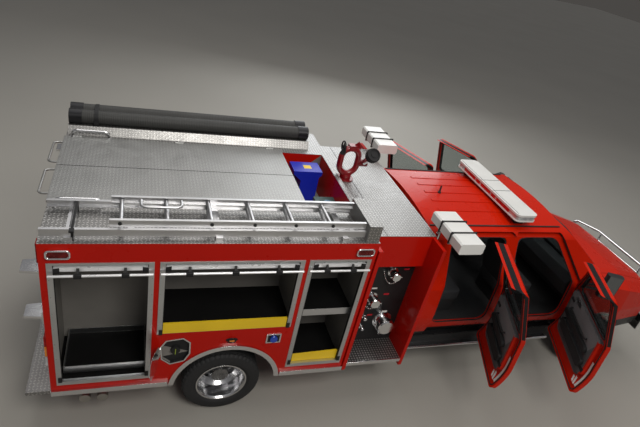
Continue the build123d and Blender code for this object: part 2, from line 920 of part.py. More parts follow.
with BuildPart() as pump_panels:
    for side in (-1, 1):
        block(
            (pump_rear + wing_thickness, pump_front - wing_thickness),
            pair(side, panel_half, panel_half + panel_thickness),
            (step_top, 1720),
        )
        face = side * (panel_half + panel_thickness)
        for ahead, height, radius, reach, lugs in ports:
            seat = Plane(origin=(pump_rear + ahead, face, height), x_dir=(1, 0, 0), z_dir=(0, side, 0))
            add(seat.location * port(radius, reach, lugs))
        # chrome rail under the brow
        block(
            (pump_rear + wing_thickness, pump_front - wing_thickness),
            pair(side, panel_half + panel_thickness, panel_half + 30),
            (1722, 1752),
        )
write(pump_panels, "pump_panels")


def cab_section(station, inset, drop):
    """Outline across the cab: tucked sill, waist, belt, leaning window sides and arched roof."""
    turn = (cab_half - sill_half) / 4
    foot = [(0, cab_bottom - drop), (sill_half - inset, cab_bottom - drop)]
    if drop:
        foot.append((sill_half - inset, cab_bottom))
    with BuildSketch(Plane.YZ.offset(station)) as section:
        with BuildLine():
            Polyline(*foot)
            ThreePointArc(
                (sill_half - inset, cab_bottom),
                (cab_half - turn - inset, (cab_bottom + waist) / 2),
                (cab_half - inset, waist),
            )
            Polyline(
                (cab_half - inset, waist),
                (belt_half - inset, belt),
                (shoulder_half - inset, drip - 90),
            )
            ThreePointArc(
                (shoulder_half - inset, drip - 90),
                (shoulder_half - 63 - inset * 0.75, drip - 30 - inset * 0.55),
                (drip_half - inset * 0.3, drip - inset),
            )
            ThreePointArc(
                (drip_half - inset * 0.3, drip - inset),
                (350, drip + 40 - inset),
                (0, crown - inset),
            )
            mirror(about=Plane.YZ)
        make_face()
    return section.sketch


def cab_block(inset, drop=0):
    """The cab's outer form, drawn in by an inset all round."""
    with BuildPart() as form:
        extrude(cab_section(cab_rear + inset, inset, drop), amount=cab_front - cab_rear - 2 * inset)
        slope = inset * 1.3
        plate(
            Plane.XZ,
            (
                (header - slope, crown + 50),
                (header - slope, drip + 24 - inset),
                (cab_front - slope, belt + 80 - inset),
                (cab_front + 50, belt + 80 - inset),
                (cab_front + 50, crown + 50),
            ),
            1200,
            both=True,
            mode=Mode.SUBTRACT,
        )
    return form.part


# Side outlines, as (distance ahead of the rear axle, height)
door_bottom = 660
sill_top = floor_top
door_top = drip - 40
window_top = drip - 100
outline_front = ((3305, door_bottom), (4415, door_bottom), (4415, belt + 20), (3960, door_top), (3305, door_top))
outline_rear = ((2400, door_bottom), (3285, door_bottom), (3285, door_top), (2400, door_top))
opening_front = ((3365, sill_top), (4340, sill_top), (4340, belt + 10), (3930, window_top), (3365, window_top))
opening_rear = ((2455, sill_top), (3200, sill_top), (3200, window_top), (2455, window_top))
window_front = ((3370, belt + 40), (4300, belt + 40), (3935, window_top), (3370, window_top))
window_rear = ((2465, belt + 40), (3225, belt + 40), (3225, window_top), (2465, window_top))
# corner radii in the order of those points
door_corners = 45
opening_corners_front = (110, 110, 90, 200, 60)
opening_corners_rear = (110, 110, 60, 60)


def side_outline(points, radius, grow=0):
    """A door or window outline on the vehicle's middle plane, with one radius or one for each corner."""
    radii = radius if isinstance(radius, tuple) else (radius,) * len(points)
    places = [(rear_axle + ahead, height) for ahead, height in points]
    with BuildSketch(Plane.XZ) as outline:
        with BuildLine():
            FilletPolyline(*places, radius=radii, close=True)
        make_face()
        if grow:
            offset(amount=grow)
    return outline.sketch


def cut_side(points, radius, side, grow=0, mode=Mode.SUBTRACT):
    """Runs an outline out through one side of the cab."""
    extrude(side_outline(points, radius, grow), amount=-side * 1200, mode=mode)


def layer(outer, inner):
    """The cab's skin between two depths, open below."""
    with BuildPart() as skin_layer:
        add(cab_block(outer))
        add(cab_block(inner, drop=100), mode=Mode.SUBTRACT)
    return skin_layer.part


door_layer = layer(0, door_thickness)
pocket_layer = layer(0, door_thickness + jamb_gap)
trim_layer = layer(door_thickness + seat_gap, door_thickness + 44)
trim_skin = layer(door_thickness + seat_gap, door_thickness + 6)
pane_layer = layer(18, 24)
pad_layer = layer(door_thickness + 40, door_thickness + 84)
hollow_layer = layer(door_thickness + 44, door_thickness + 78)
outside = cab_block(-seat_gap)

# Windscreen opening, square to the glass
screen_low = Vector(cab_front, 0, belt + 80)
screen_high = Vector(header, 0, drip + 24)
screen_middle = (screen_low + screen_high) * 0.5
screen_rise = screen_high - screen_low
screen_plane = Plane(origin=screen_middle, x_dir=(0, 1, 0), z_dir=Vector(0, 1, 0).cross(screen_rise))
screen_half = screen_rise.length / 2
screen_points = (
    (-860, -screen_half + 60),
    (860, -screen_half + 60),
    (640, screen_half - 70),
    (-640, screen_half - 70),
)
back_window = ((-560, belt + 60), (560, belt + 60), (500, window_top - 50), (-500, window_top - 50))


def pocket(points, side):
    """The recess that a closed door fills, with room round it."""
    with BuildPart() as recess:
        add(pocket_layer)
        cut_side(points, door_corners, side, grow=swing_gap, mode=Mode.INTERSECT)
    return recess.part


def trim_body(back, front, side):
    """The thick part of a door's trim, which enters the jamb's opening."""
    with BuildPart() as body:
        add(trim_layer)
        low = sill_top + swing_gap + 8
        cut_side(
            ((back, low), (front, low), (front, belt + 10), (back, belt + 10)),
            50,
            side,
            mode=Mode.INTERSECT,
        )
    return body.part


def trim_pads(back, front, side):
    """Armrest and map pocket, moulded on the trim's inner face, the pocket open above."""
    low = sill_top + 70
    rest = 1105
    with BuildPart() as pads:
        add(pad_layer)
        with BuildPart(mode=Mode.PRIVATE) as shapes:
            cut_side(
                ((back + 120, rest), (front - 60, rest), (front - 60, rest + 70), (back + 120, rest + 70)),
                30,
                side,
                mode=Mode.ADD,
            )
            cut_side(
                ((back + 90, low), (front - 120, low), (front - 90, low + 120), (back + 60, low + 120)),
                30,
                side,
                mode=Mode.ADD,
            )
        add(shapes.part, mode=Mode.INTERSECT)
        with BuildPart(mode=Mode.PRIVATE) as hollow:
            add(hollow_layer)
            cut_side(
                ((back + 105, low + 18), (front - 135, low + 18), (front - 105, low + 160), (back + 75, low + 160)),
                20,
                side,
                mode=Mode.INTERSECT,
            )
        add(hollow.part, mode=Mode.SUBTRACT)
    return pads.part


pin_radius = 6
sleeve_radius = 9
hinge_lows = (900, 1230)
hinge_length = 100
leaf_height = 14
front_arch = 480
arch_rise = 40

# raised ribs along the roof
rib_pitch = 190
rib_width = 46
rib_rise = 6
with BuildPart() as roof_ribs:
    for step in (-2, -1, 0, 1, 2):
        middle = step * rib_pitch
        block(
            (cab_rear + 260, header - 260),
            (middle - rib_width / 2, middle + rib_width / 2),
            (drip - 60, crown + 20),
        )
    add(cab_block(-rib_rise), mode=Mode.INTERSECT)

with BuildPart() as cab_shell:
    add(cab_block(0))
    add(roof_ribs.part)
    add(cab_block(cab_wall, drop=100), mode=Mode.SUBTRACT)
    for side in (-1, 1):
        for outline, opening, corners in (
            (outline_front, opening_front, opening_corners_front),
            (outline_rear, opening_rear, opening_corners_rear),
        ):
            add(pocket(outline, side), mode=Mode.SUBTRACT)
            cut_side(opening, corners, side)
        # hinge pins on leaves beside each door's front edge
        for hinge_x in (front_hinge, rear_hinge):
            for low in hinge_lows:
                rod(
                    (hinge_x, side * hinge_half, low),
                    (hinge_x, side * hinge_half, low + hinge_length),
                    pin_radius,
                )
                for leaf in (low, low + hinge_length - leaf_height):
                    block(
                        (hinge_x - 2, hinge_x + 8),
                        pair(side, 940, hinge_half + pin_radius),
                        (leaf, leaf + leaf_height),
                    )
    plate(screen_plane, screen_points, 160, both=True, radius=60, mode=Mode.SUBTRACT)
    plate(Plane.YZ.offset(cab_rear - 10), back_window, cab_wall + 40, radius=60, mode=Mode.SUBTRACT)
    block(
        (cab_rear - 1, cab_front + 1),
        (-sill_half + cab_wall, sill_half - cab_wall),
        (cab_bottom - 1, rail_top),
        mode=Mode.SUBTRACT,
    )
    rod(
        (front_axle, -1100, axle_height + arch_rise),
        (front_axle, 1100, axle_height + arch_rise),
        front_arch,
        mode=Mode.SUBTRACT,
    )
write(cab_shell, "cab_shell")


def glazing(plane, points, depth):
    """Glass that fills an opening, in the middle of the wall."""
    with BuildPart() as glass:
        add(pane_layer)
        plate(plane, points, depth, both=True, radius=60, mode=Mode.INTERSECT)
    return glass.part


with BuildPart() as cab_glass:
    add(glazing(screen_plane, screen_points, 160))
    add(glazing(Plane.YZ.offset(cab_rear), back_window, cab_wall))
write(cab_glass, "cab_glass")

# Doors: shell with its window cut, trim panel inside, and glass, swung open
for place, hinge_x, outline, window, jamb, door_open in (
    ("front", front_hinge, outline_front, window_front, opening_front, 65),
    ("rear", rear_hinge, outline_rear, window_rear, opening_rear, 68),
):
    back, front = outline[0][0] + 60, outline[1][0] - 60
    thick_back, thick_front = jamb[0][0] + swing_gap + 10, jamb[1][0] - swing_gap - 10
    for name, side in (("right", -1), ("left", 1)):
        hinge = Axis((hinge_x, side * hinge_half, 0), (0, 0, -side))
        with BuildPart() as door_shut:
            add(door_layer)
            cut_side(outline, door_corners, side, mode=Mode.INTERSECT)
            cut_side(window, 50, side)
            for low in hinge_lows:
                sleeve_low = low + leaf_height + 1
                sleeve_high = low + hinge_length - leaf_height - 1
                rod(
                    (hinge_x, side * hinge_half, sleeve_low),
                    (hinge_x, side * hinge_half, sleeve_high),
                    sleeve_radius,
                )
                block(
                    (hinge_x - 25, hinge_x - 5),
                    pair(side, 985, hinge_half + 4),
                    (sleeve_low, sleeve_high),
                )
                rod(
                    (hinge_x, side * hinge_half, sleeve_low),
                    (hinge_x, side * hinge_half, sleeve_high),
                    pin_radius + seat_gap,
                    mode=Mode.SUBTRACT,
                )
        with BuildPart() as trim_shut:
            add(trim_skin)
            cut_side(
                ((back, door_bottom + 60), (front, door_bottom + 60), (front, belt + 10), (back, belt + 10)),
                40,
                side,
                mode=Mode.INTERSECT,
            )
            add(trim_body(thick_back, thick_front, side))
            add(trim_pads(thick_back, thick_front, side))
        if place == "front":
            mirror_x = hinge_x - 160
            with BuildPart() as mirror_shut:
                rod((hinge_x - 90, side * 900, 1465), (mirror_x, side * 1160, 1520), 16)
                rod((hinge_x - 90, side * 940, 1470), (mirror_x, side * 1160, 1640), 12)
                with BuildSketch(Plane.XY.offset(1440)) as head:
                    with Locations((mirror_x, side * 1215)):
                        RectangleRounded(90, 190, 28)
                extrude(head.sketch, amount=320)
                add(outside, mode=Mode.SUBTRACT)
        with BuildPart() as pane_shut:
            add(pane_layer)
            cut_side(window, 50, side, grow=-seat_gap, mode=Mode.INTERSECT)
        with BuildPart() as door:
            add(door_shut.part.rotate(hinge, door_open))
        write(door, f"door_{place}_{name}")
        with BuildPart() as trim:
            add(trim_shut.part.rotate(hinge, door_open))
            if place == "front":
                add(mirror_shut.part.rotate(hinge, door_open))
        write(trim, f"trim_{place}_{name}")
        with BuildPart() as pane:
            add(pane_shut.part.rotate(hinge, door_open))
        write(pane, f"pane_{place}_{name}")

# Cab floor, seats and dashboard
with BuildPart() as cab_floor:
    add(cab_block(cab_wall, drop=100))
    block((cab_rear, cab_front), (-body_half, body_half), (rail_top, floor_top), mode=Mode.INTERSECT)
write(cab_floor, "cab_floor")

with BuildPart() as seats:
    for middle in (-470, 470):
        low = rear_axle + 3480
        block((low, low + 520), (middle - 250, middle + 250), (floor_top, 1180))
        plate(
            Plane.XZ.offset(-middle - 250),
            ((low, 1180), (low + 150, 1180), (low - 20, 1760), (low - 110, 1760)),
            500,
            radius=20,
        )
    low = rear_axle + 2330
    block((low, low + 560), (-760, 760), (floor_top, 1160))
    plate(
        Plane.XZ.offset(-760),
        ((low, 1160), (low + 170, 1160), (low + 60, 1700), (low, 1700)),
        1520,
        radius=20,
    )
write(seats, "seats")

dash_front = cab_front - cab_wall
with BuildPart() as dashboard:
    plate(
        Plane.XZ.offset(-830),
        (
            (dash_front - 260, 1080),
            (dash_front, 1080),
            (dash_front, 1330),
            (dash_front - 60, 1375),
            (dash_front - 260, 1390),
            (dash_front - 330, 1280),
        ),
        1660,
        radius=18,
    )
    with Locations(Plane(origin=(dash_front - 430, 470, 1340), z_dir=(-1, 0, 0.5))):
        Torus(180, 15)
        with PolarLocations(90, 3):
            Box(180, 34, 14)
        Cylinder(45, 24)
    rod((dash_front - 430, 470, 1340), (dash_front - 200, 470, 1225), 26)
write(dashboard, "dashboard")

# Front sheet metal: one tapering form, split into hood and fenders
# columns: distance ahead of the rear axle, half width, shoulder height, shoulder half width, crown
nose_sections = (
    (cab_front, 1013, 1370, 900, belt + 80),
    (rear_axle + 5350, 1030, 1270, 860, 1400),
    (nose_front, 960, 1130, 800, 1260),
)
fender_bottom = 600


def nose_form(inset, start_grow=0):
    """The front sheet metal's outer form, drawn in by an inset."""
    with BuildPart() as form:
        for place, half, shoulder, inner, top in nose_sections:
            with BuildSketch(Plane.YZ.offset(place - (inset if place == nose_front else -start_grow))):
                with BuildLine():
                    Polyline(
                        (0, fender_bottom - (60 if inset else 0)),
                        (half - 20 - inset, fender_bottom - (60 if inset else 0)),
                        (half - inset, 950),
                        (half - 25 - inset, shoulder - inset),
                        (inner - inset, (shoulder + top) / 2 + 10 - inset),
                        (inner - 180, top - 18 - inset),
                        (0, top - inset),
                    )
                    mirror(about=Plane.YZ)
                make_face()
        loft(ruled=True)
    return form.part


sheet = 28
lamp_outer = 880
lamp_high = 1170
lamp_low = 830
hood_gap = 8
hood_rear = cab_front + 60
barrel_radius = 7
barrel_half = 100
hood_hinge_x = hood_rear - hood_gap / 2
hood_hinge_height = 1473
hood_half = 800
nose_outer = nose_form(0)
nose_inner = nose_form(sheet, start_grow=-60)
with BuildPart() as hood:
    add(nose_outer)
    add(nose_inner, mode=Mode.SUBTRACT)
    plate(
        Plane.XY.offset(1050),
        (
            (hood_rear, -hood_half),
            (nose_front + 10, -hood_half + 70),
            (nose_front + 10, hood_half - 70),
            (hood_rear, hood_half),
        ),
        600,
        mode=Mode.INTERSECT,
    )
    block(
        (nose_front - 62, nose_front + 10),
        (-lamp_outer, lamp_outer),
        (900, lamp_high + hood_gap),
        mode=Mode.SUBTRACT,
    )
    for side in (-1, 1):
        rod(
            (hood_hinge_x, side * (barrel_half - 2), hood_hinge_height),
            (hood_hinge_x, side * (barrel_half + 54), hood_hinge_height),
            barrel_radius + 3,
            mode=Mode.SUBTRACT,
        )
    rod(
        (hood_hinge_x, -barrel_half, hood_hinge_height),
        (hood_hinge_x, barrel_half, hood_hinge_height),
        barrel_radius,
    )
    rod(
        (hood_hinge_x, -barrel_half, hood_hinge_height),
        (hood_hinge_x, barrel_half, hood_hinge_height),
        pin_radius - 3 + seat_gap,
        mode=Mode.SUBTRACT,
    )
write(hood, "hood")

with BuildPart() as fenders:
    add(nose_outer)
    add(nose_inner, mode=Mode.SUBTRACT)
    plate(
        Plane.XY.offset(1040),
        (
            (hood_rear - hood_gap, -hood_half - hood_gap),
            (nose_front + 10, -hood_half + 70 - hood_gap),
            (nose_front + 10, hood_half - 70 + hood_gap),
            (hood_rear - hood_gap, hood_half + hood_gap),
        ),
        600,
        mode=Mode.SUBTRACT,
    )
    block((cab_front, cab_front + 40), (-rail_half, rail_half), (500, 1300), mode=Mode.SUBTRACT)
    rod(
        (front_axle, -1100, axle_height + arch_rise),
        (front_axle, 1100, axle_height + arch_rise),
        front_arch,
        mode=Mode.SUBTRACT,
    )
    block((nose_front - 60, nose_front + 10), (-lamp_outer, lamp_outer), (500, lamp_high), mode=Mode.SUBTRACT)
    block(
        (hood_hinge_x - barrel_radius - 3, hood_rear),
        (-barrel_half - 2, barrel_half + 2),
        (hood_hinge_height - barrel_radius - 3, hood_hinge_height + 20),
        mode=Mode.SUBTRACT,
    )
    for side in (-1, 1):
        rod(
            (hood_hinge_x, side * (barrel_half + 2), hood_hinge_height),
            (hood_hinge_x, side * (barrel_half + 50), hood_hinge_height),
            barrel_radius,
        )
    rod(
        (hood_hinge_x, -barrel_half - 10, hood_hinge_height),
        (hood_hinge_x, barrel_half + 10, hood_hinge_height),
        pin_radius - 3,
    )
write(fenders, "fenders")

# Grille: a chrome surround with bars, and the lamp housings beside it
grille_half = 500
grille_face = nose_front + 10
bar_pitch = 58
with BuildPart() as grille:
    block((nose_front - 60, nose_front - 50), (-lamp_outer, lamp_outer), (lamp_low, lamp_high))
    block((nose_front - 50, grille_face), (-grille_half, grille_half), (lamp_low, lamp_high))
    block(
        (nose_front - 50, grille_face),
        (-grille_half + 40, grille_half - 40),
        (lamp_low + 40, lamp_high - 40),
        mode=Mode.SUBTRACT,
    )
    for step in range(1, 5):
        height = lamp_low + 18 + step * bar_pitch
        block(
            (nose_front - 50, grille_face - 8),
            (-grille_half + 40, grille_half - 40),
            (height, height + 22),
        )
write(grille, "grille")

# Lamps: head lamps, body side lamps, markers and tail lamps
with BuildPart() as lamps:
    for side in (-1, 1):
        block(
            (nose_front - 50, nose_front + 4),
            pair(side, grille_half + 10, lamp_outer - 15),
            (lamp_low + 30, lamp_high - 10),
        )
        for station, height, width, tall in ((-1421, 2120, 175, 80), (1163, 2120, 175, 80), (30, 1062, 80, 44)):
            seat = Plane(
                origin=(rear_axle + station, side * body_half, height),
                x_dir=(1, 0, 0),
                z_dir=(0, side, 0),
            )
            # an octagonal bezel with a raised lens inside its rim
            for shrink, low, high, mode in (
                (0, 0, 22, Mode.ADD),
                (10, 14, 22, Mode.SUBTRACT),
                (14, 14, 20, Mode.ADD),
            ):
                with BuildSketch(seat.offset(low)) as outline:
                    Rectangle(width - 2 * shrink, tall - 2 * shrink)
                    chamfer(outline.vertices(), (tall - 2 * shrink) * 0.3)
                extrude(outline.sketch, amount=high - low, mode=mode)
        for height in (870, 990, 1110):
            block((body_rear - 20, body_rear), pair(side, 1100, 1196), (height, height + 108))
        block((body_rear - 14, body_rear), pair(side, 1100, 1180), (2010, 2190))
write(lamps, "lamps")

# Front bumper with the tube guard
bumper_face = rear_axle + 6050
guard_face = front_axle + front_reach
with BuildPart() as front_bumper:
    block((bumper_face - 90, bumper_face), (-1000, 1000), (520, 760))
    fillet(front_bumper.edges().filter_by(Axis.Z).group_by(Axis.X)[-1], 60)
    block((rear_axle + 5780, bumper_face - 90), (-rail_half, -rail_half + 80), (600, 700))
    block((rear_axle + 5780, bumper_face - 90), (rail_half - 80, rail_half), (600, 700))
    tube = 24
    for side in (-1, 1):
        plate(
            Plane.XZ.offset(-side * 330 - 8),
            (
                (bumper_face - 20, 700),
                (guard_face - 10, 700),
                (guard_face - 10, 1080),
                (guard_face - 60, 1080),
            ),
            16,
        )
    pipe(
        (
            (bumper_face - 30, -930, 700),
            (guard_face - 110, -900, 1150),
            (guard_face - tube, -480, 1210),
            (guard_face - tube, 480, 1210),
            (guard_face - 110, 900, 1150),
            (bumper_face - 30, 930, 700),
        ),
        tube,
        90,
    )
    for height in (820, 950, 1080):
        rod((guard_face - tube - 5, -420, height), (guard_face - tube - 5, 420, height), 16)
    for side in (-1, 1):
        rod((guard_face - tube, side * 420, 740), (guard_face - tube, side * 420, 1210), 20)
write(front_bumper, "front_bumper")

# Cab steps: a running board with an edge tube below each side, and the dark rocker panel above it
step_height = 455
step_outer = 970
step_tube = 20
step_board = 10
rocker_half = 880
step_front = rear_axle + 4400
with BuildPart() as cab_steps:
    for side in (-1, 1):
        along = (cab_rear + 20, step_front)
        edge_y = side * (step_outer - step_tube)
        rod((along[0], edge_y, step_height), (along[1], edge_y, step_height), step_tube)
        block(along, pair(side, rocker_half - 60, step_outer - step_tube), (step_height - step_board, step_height))
        block(along, pair(side, rocker_half - 12, rocker_half), (step_height, cab_bottom - seat_gap))
        for ahead in (2400, 3330, 4250):
            at = rear_axle + ahead
            block((at - 25, at + 25), pair(side, rail_half, rocker_half), (step_height - 22, step_height - 10))
            block((at - 25, at + 25), pair(side, rail_half, rail_half + 12), (step_height - 22, 700))
write(cab_steps, "cab_steps")

# Light bar on its feet
bar_middle = rear_axle + 3400
bar_half = 700
bar_low = crown + 37
bar_depth = 290
lens_gap = 6
with BuildPart() as light_bar:
    # base tray, lens band and top, the band split by seams
    for shrink, low, high in ((0, 0, 16), (8, 16, 66), (0, 66, 90)):
        with BuildSketch(Plane.XY.offset(bar_low + low)) as outline:
            with Locations((bar_middle, 0)):
                RectangleRounded(bar_depth - 2 * shrink, 2 * (bar_half - shrink), 60 - shrink)
        extrude(outline.sketch, amount=high - low)
    for at in (-520, -350, -120, 120, 350, 520):
        for edge in (-1, 1):
            block(
                pair_at(bar_middle, edge, bar_depth / 2 - 14, bar_depth / 2),
                (at - lens_gap / 2, at + lens_gap / 2),
                (bar_low + 16, bar_low + 66),
                mode=Mode.SUBTRACT,
            )
    for side in (-1, 1):
        block((bar_middle - 60, bar_middle + 60), pair(side, 540, 600), (drip - 20, bar_low))
    add(outside, mode=Mode.SUBTRACT)
write(light_bar, "light_bar")

# Ladder: bed section and fly section on three carriers
ladder_near = body_half - 48
ladder_far = body_half - 488
rung_pitch = 355.6
rung_radius = 16
rail_depth = 64
rail_thick = 28
rail_sheet = 6
ladder_middle = (ladder_near + ladder_far) / 2
ladder_low = deck_top + 34
fly_rung = rear_axle - 976
with BuildPart() as ladder:
    for ahead in (-1350, -200, 950):
        at = rear_axle + ahead
        block((at - 30, at + 30), (-ladder_near - 20, -ladder_far + 20), (deck_top, ladder_low))
    for low, back, front, inset in (
        (ladder_low, -1550, 1140, 0),
        (ladder_low + rail_depth + 4, -1060, 1140, rail_thick + 4),
    ):
        for near, far in (
            (-ladder_near + inset, -ladder_near + inset + rail_thick),
            (-ladder_far - inset - rail_thick, -ladder_far - inset),
        ):
            block((rear_axle + back, rear_axle + front), (near, far), (low, low + rail_depth))
            # the rails are channels that open towards the rungs
            hollow = (near + rail_sheet, far) if near < -ladder_middle else (near, far - rail_sheet)
            block(
                (rear_axle + back, rear_axle + front),
                hollow,
                (low + rail_sheet, low + rail_depth - rail_sheet),
                mode=Mode.SUBTRACT,
            )
        rung = fly_rung
        while rung - rung_pitch > rear_axle + back:
            rung = rung - rung_pitch
        while rung < rear_axle + front - 20:
            rod(
                (rung, -ladder_near + inset + rail_sheet - 1, low + rail_depth / 2),
                (rung, -ladder_far - inset - rail_sheet + 1, low + rail_depth / 2),
                rung_radius,
            )
            rung = rung + rung_pitch
    # the four guides that keep the sections together
    for ahead in (-900, 1000):
        at = rear_axle + ahead
        for y in (-ladder_near + 12, -ladder_far - rail_thick - 8):
            block((at - 25, at + 25), (y, y + 24), (ladder_low + rail_depth, ladder_low + rail_depth + 4))
    block((rear_axle + 1150, rear_axle + 1280), (-ladder_near - 35, -ladder_far + 30), (deck_top, deck_top + 175))
write(ladder, "ladder")

# Suction hoses in their tray on the left side
hose_radius = 72
tray_top = deck_top + 85
tray_outer = body_half - 58
with BuildPart() as suction_hoses:
    plate(
        Plane.YZ.offset(rear_axle - 1550),
        (
            (body_half - 488, deck_top),
            (tray_outer, deck_top),
            (tray_outer, tray_top + 40),
            (tray_outer - 12, tray_top + 40),
            (tray_outer - 12, tray_top),
            (body_half - 438, tray_top),
        ),
        2650,
    )
    for y in (tray_outer - 300, tray_outer - 130):
        rod(
            (rear_axle - 1540, y, tray_top + hose_radius - 1),
            (rear_axle + 1080, y, tray_top + hose_radius - 1),
            hose_radius,
        )
        # couplings at both ends
        for back, front in ((-1545, -1420), (960, 1085)):
            rod(
                (rear_axle + back, y, tray_top + hose_radius - 1),
                (rear_axle + front, y, tray_top + hose_radius - 1),
                hose_radius + 8,
            )
write(suction_hoses, "suction_hoses")

# Monitor: base, turning oval loop of pipe with its gear box and hand wheel, and the raised nozzle
monitor_x = rear_axle + 1410
monitor_y = 170
swivel_height = pump_top + 24
loop_radius = 105
loop_straight = 50  # half length of the loop's straight sides
loop_pipe = 34
loop_height = swivel_height + 10 + loop_straight + loop_radius + loop_pipe
pivot_x = monitor_x + loop_radius + 36
pivot_height = loop_height - 15
with BuildPart() as monitor_base:
    rod((monitor_x, monitor_y, pump_top), (monitor_x, monitor_y, pump_top + 12), 100)
    rod((monitor_x, monitor_y, pump_top), (monitor_x, monitor_y, swivel_height), 62)
write(monitor_base, "monitor_base")

with BuildPart() as monitor_swivel:
    rod(
        (monitor_x, monitor_y, swivel_height + seat_gap),
        (monitor_x, monitor_y, swivel_height + 36),
        66,
    )
    # the loop stands across the line of fire
    for low in (-1, 1):
        with BuildSketch(Plane.XY.offset(loop_height)) as ring:
            with Locations((monitor_x + low * loop_radius, monitor_y)):
                Circle(loop_pipe)
        extrude(ring.sketch, amount=loop_straight, both=True)
    for up in (-1, 1):
        with BuildSketch(Plane.XY.offset(loop_height + up * loop_straight)) as ring:
            with Locations((monitor_x + loop_radius, monitor_y)):
                Circle(loop_pipe)
        revolve(
            ring.sketch,
            axis=Axis((monitor_x, monitor_y, loop_height + up * loop_straight), (0, -up, 0)),
            revolution_arc=180,
        )
    # boss of the nozzle's pivot, and the gear box with its hand wheel
    rod((monitor_x + loop_radius, monitor_y, pivot_height), (pivot_x, monitor_y, pivot_height), 44)
    top = loop_height + loop_straight + loop_radius
    block((monitor_x - 40, monitor_x + 50), (monitor_y - 38, monitor_y + 42), (top - 20, top + 44))
    plate(
        Plane.XZ.offset(-monitor_y - 6),
        ((monitor_x + 20, top + 40), (monitor_x + 110, top - 10), (monitor_x + 70, top + 90)),
        12,
    )
    wheel_x = monitor_x - 100
    rod((monitor_x - 40, monitor_y + 10, top + 14), (wheel_x, monitor_y + 10, top + 14), 10)
    with Locations(Plane(origin=(wheel_x, monitor_y + 10, top + 14), z_dir=(1, 0, 0))):
        Torus(58, 9)
        Cylinder(18, 20)
        Box(116, 12, 8)
        Box(12, 116, 8)
write(monitor_swivel, "monitor_swivel")

nozzle_start = pivot_x + seat_gap
aim = Vector(0, -1, 1).normalized()
pivot_middle = Vector(nozzle_start + 40, monitor_y, pivot_height)
with BuildPart() as monitor_barrel:
    rod((nozzle_start, monitor_y, pivot_height), (nozzle_start + 80, monitor_y, pivot_height), 42)
    # columns: start and end along the line of fire, radius
    for low, high, radius in ((0, 190, 34), (150, 175, 42), (185, 230, 52), (225, 300, 76), (262, 278, 82)):
        rod(tuple(pivot_middle + aim * low), tuple(pivot_middle + aim * high), radius)
    rod(tuple(pivot_middle + aim * 288), tuple(pivot_middle + aim * 301), 62, mode=Mode.SUBTRACT)
    rod(tuple(pivot_middle + aim * 280), tuple(pivot_middle + aim * 296), 30)
write(monitor_barrel, "monitor_barrel")

# Light masts: an inner tube with a head of three lamps in a tube frame
head_long = 590
head_deep = 280
head_tall = 120
head_low = pump_top + 52
head_shift = 100  # the head's middle ahead of the mast
lamp_gap = 14
with BuildPart() as lamp_head:
    cell = (head_long - 2 * lamp_gap) / 3
    for step in (-1, 0, 1):
        with Locations((head_shift, step * (cell + lamp_gap), head_low + head_tall / 2)):
            lamp_box = Box(head_deep, cell, head_tall)
        chamfer(lamp_box.edges().filter_by(Axis.Y), 16)
    for step in (-1, 1):
        middle = step * (cell + lamp_gap) / 2
        block(
            (head_shift - head_deep / 2 + 12, head_shift + head_deep / 2 - 12),
            (middle - lamp_gap / 2, middle + lamp_gap / 2),
            (head_low + 12, head_low + head_tall - 12),
        )
        # guard tube round the head at each seam
        corners = (
            (head_shift - head_deep / 2 - 4, head_low - 4),
            (head_shift + head_deep / 2 + 4, head_low - 4),
            (head_shift + head_deep / 2 + 4, head_low + head_tall + 4),
            (head_shift - head_deep / 2 - 4, head_low + head_tall + 4),
        )
        for start, end in zip(corners, corners[1:] + corners[:1]):
            rod((start[0], middle, start[1]), (end[0], middle, end[1]), 9)
    for step in (-1, 0, 1):
        middle = step * (cell + lamp_gap)
        block(
            (head_shift + head_deep / 2 - 6, head_shift + head_deep / 2 + 1),
            (middle - cell / 2 + 14, middle + cell / 2 - 14),
            (head_low + 26, head_low + head_tall - 26),
            mode=Mode.SUBTRACT,
        )
for name, side in (("right", -1), ("left", 1)):
    with BuildPart() as light_mast:
        rod(
            (mast_x, side * mast_y, mast_low + 40),
            (mast_x, side * mast_y, head_low + 20),
            mast_radius - 5.5,
        )
        with Locations((mast_x, side * (mast_y + 145), 0)):
            add(lamp_head.part)
    write(light_mast, f"light_mast_{name}")
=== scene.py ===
"""The looks of a crew cab rescue pumper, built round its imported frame, in metres."""
from functools import partial
import json
import bmesh
import bpy
import numpy as np
from mathutils import Matrix, Vector


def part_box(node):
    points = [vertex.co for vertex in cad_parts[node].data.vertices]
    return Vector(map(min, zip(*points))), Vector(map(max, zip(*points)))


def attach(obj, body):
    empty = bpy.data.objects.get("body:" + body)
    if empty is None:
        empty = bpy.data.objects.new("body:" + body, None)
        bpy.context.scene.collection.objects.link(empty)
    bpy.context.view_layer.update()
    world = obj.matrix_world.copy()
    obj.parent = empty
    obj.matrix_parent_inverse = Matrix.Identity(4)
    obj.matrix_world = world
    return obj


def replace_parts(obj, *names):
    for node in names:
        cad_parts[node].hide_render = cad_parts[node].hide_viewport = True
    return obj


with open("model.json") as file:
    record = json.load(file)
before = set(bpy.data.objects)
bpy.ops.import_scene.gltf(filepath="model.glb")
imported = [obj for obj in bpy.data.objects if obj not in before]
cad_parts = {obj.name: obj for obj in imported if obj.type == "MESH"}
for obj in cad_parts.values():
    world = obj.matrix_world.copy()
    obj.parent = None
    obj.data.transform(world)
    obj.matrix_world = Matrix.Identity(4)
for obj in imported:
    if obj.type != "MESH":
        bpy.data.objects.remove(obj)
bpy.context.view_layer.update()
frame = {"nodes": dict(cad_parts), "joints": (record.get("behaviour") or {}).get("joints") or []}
nodes = frame["nodes"]
joints = {joint["name"]: joint for joint in frame["joints"]}

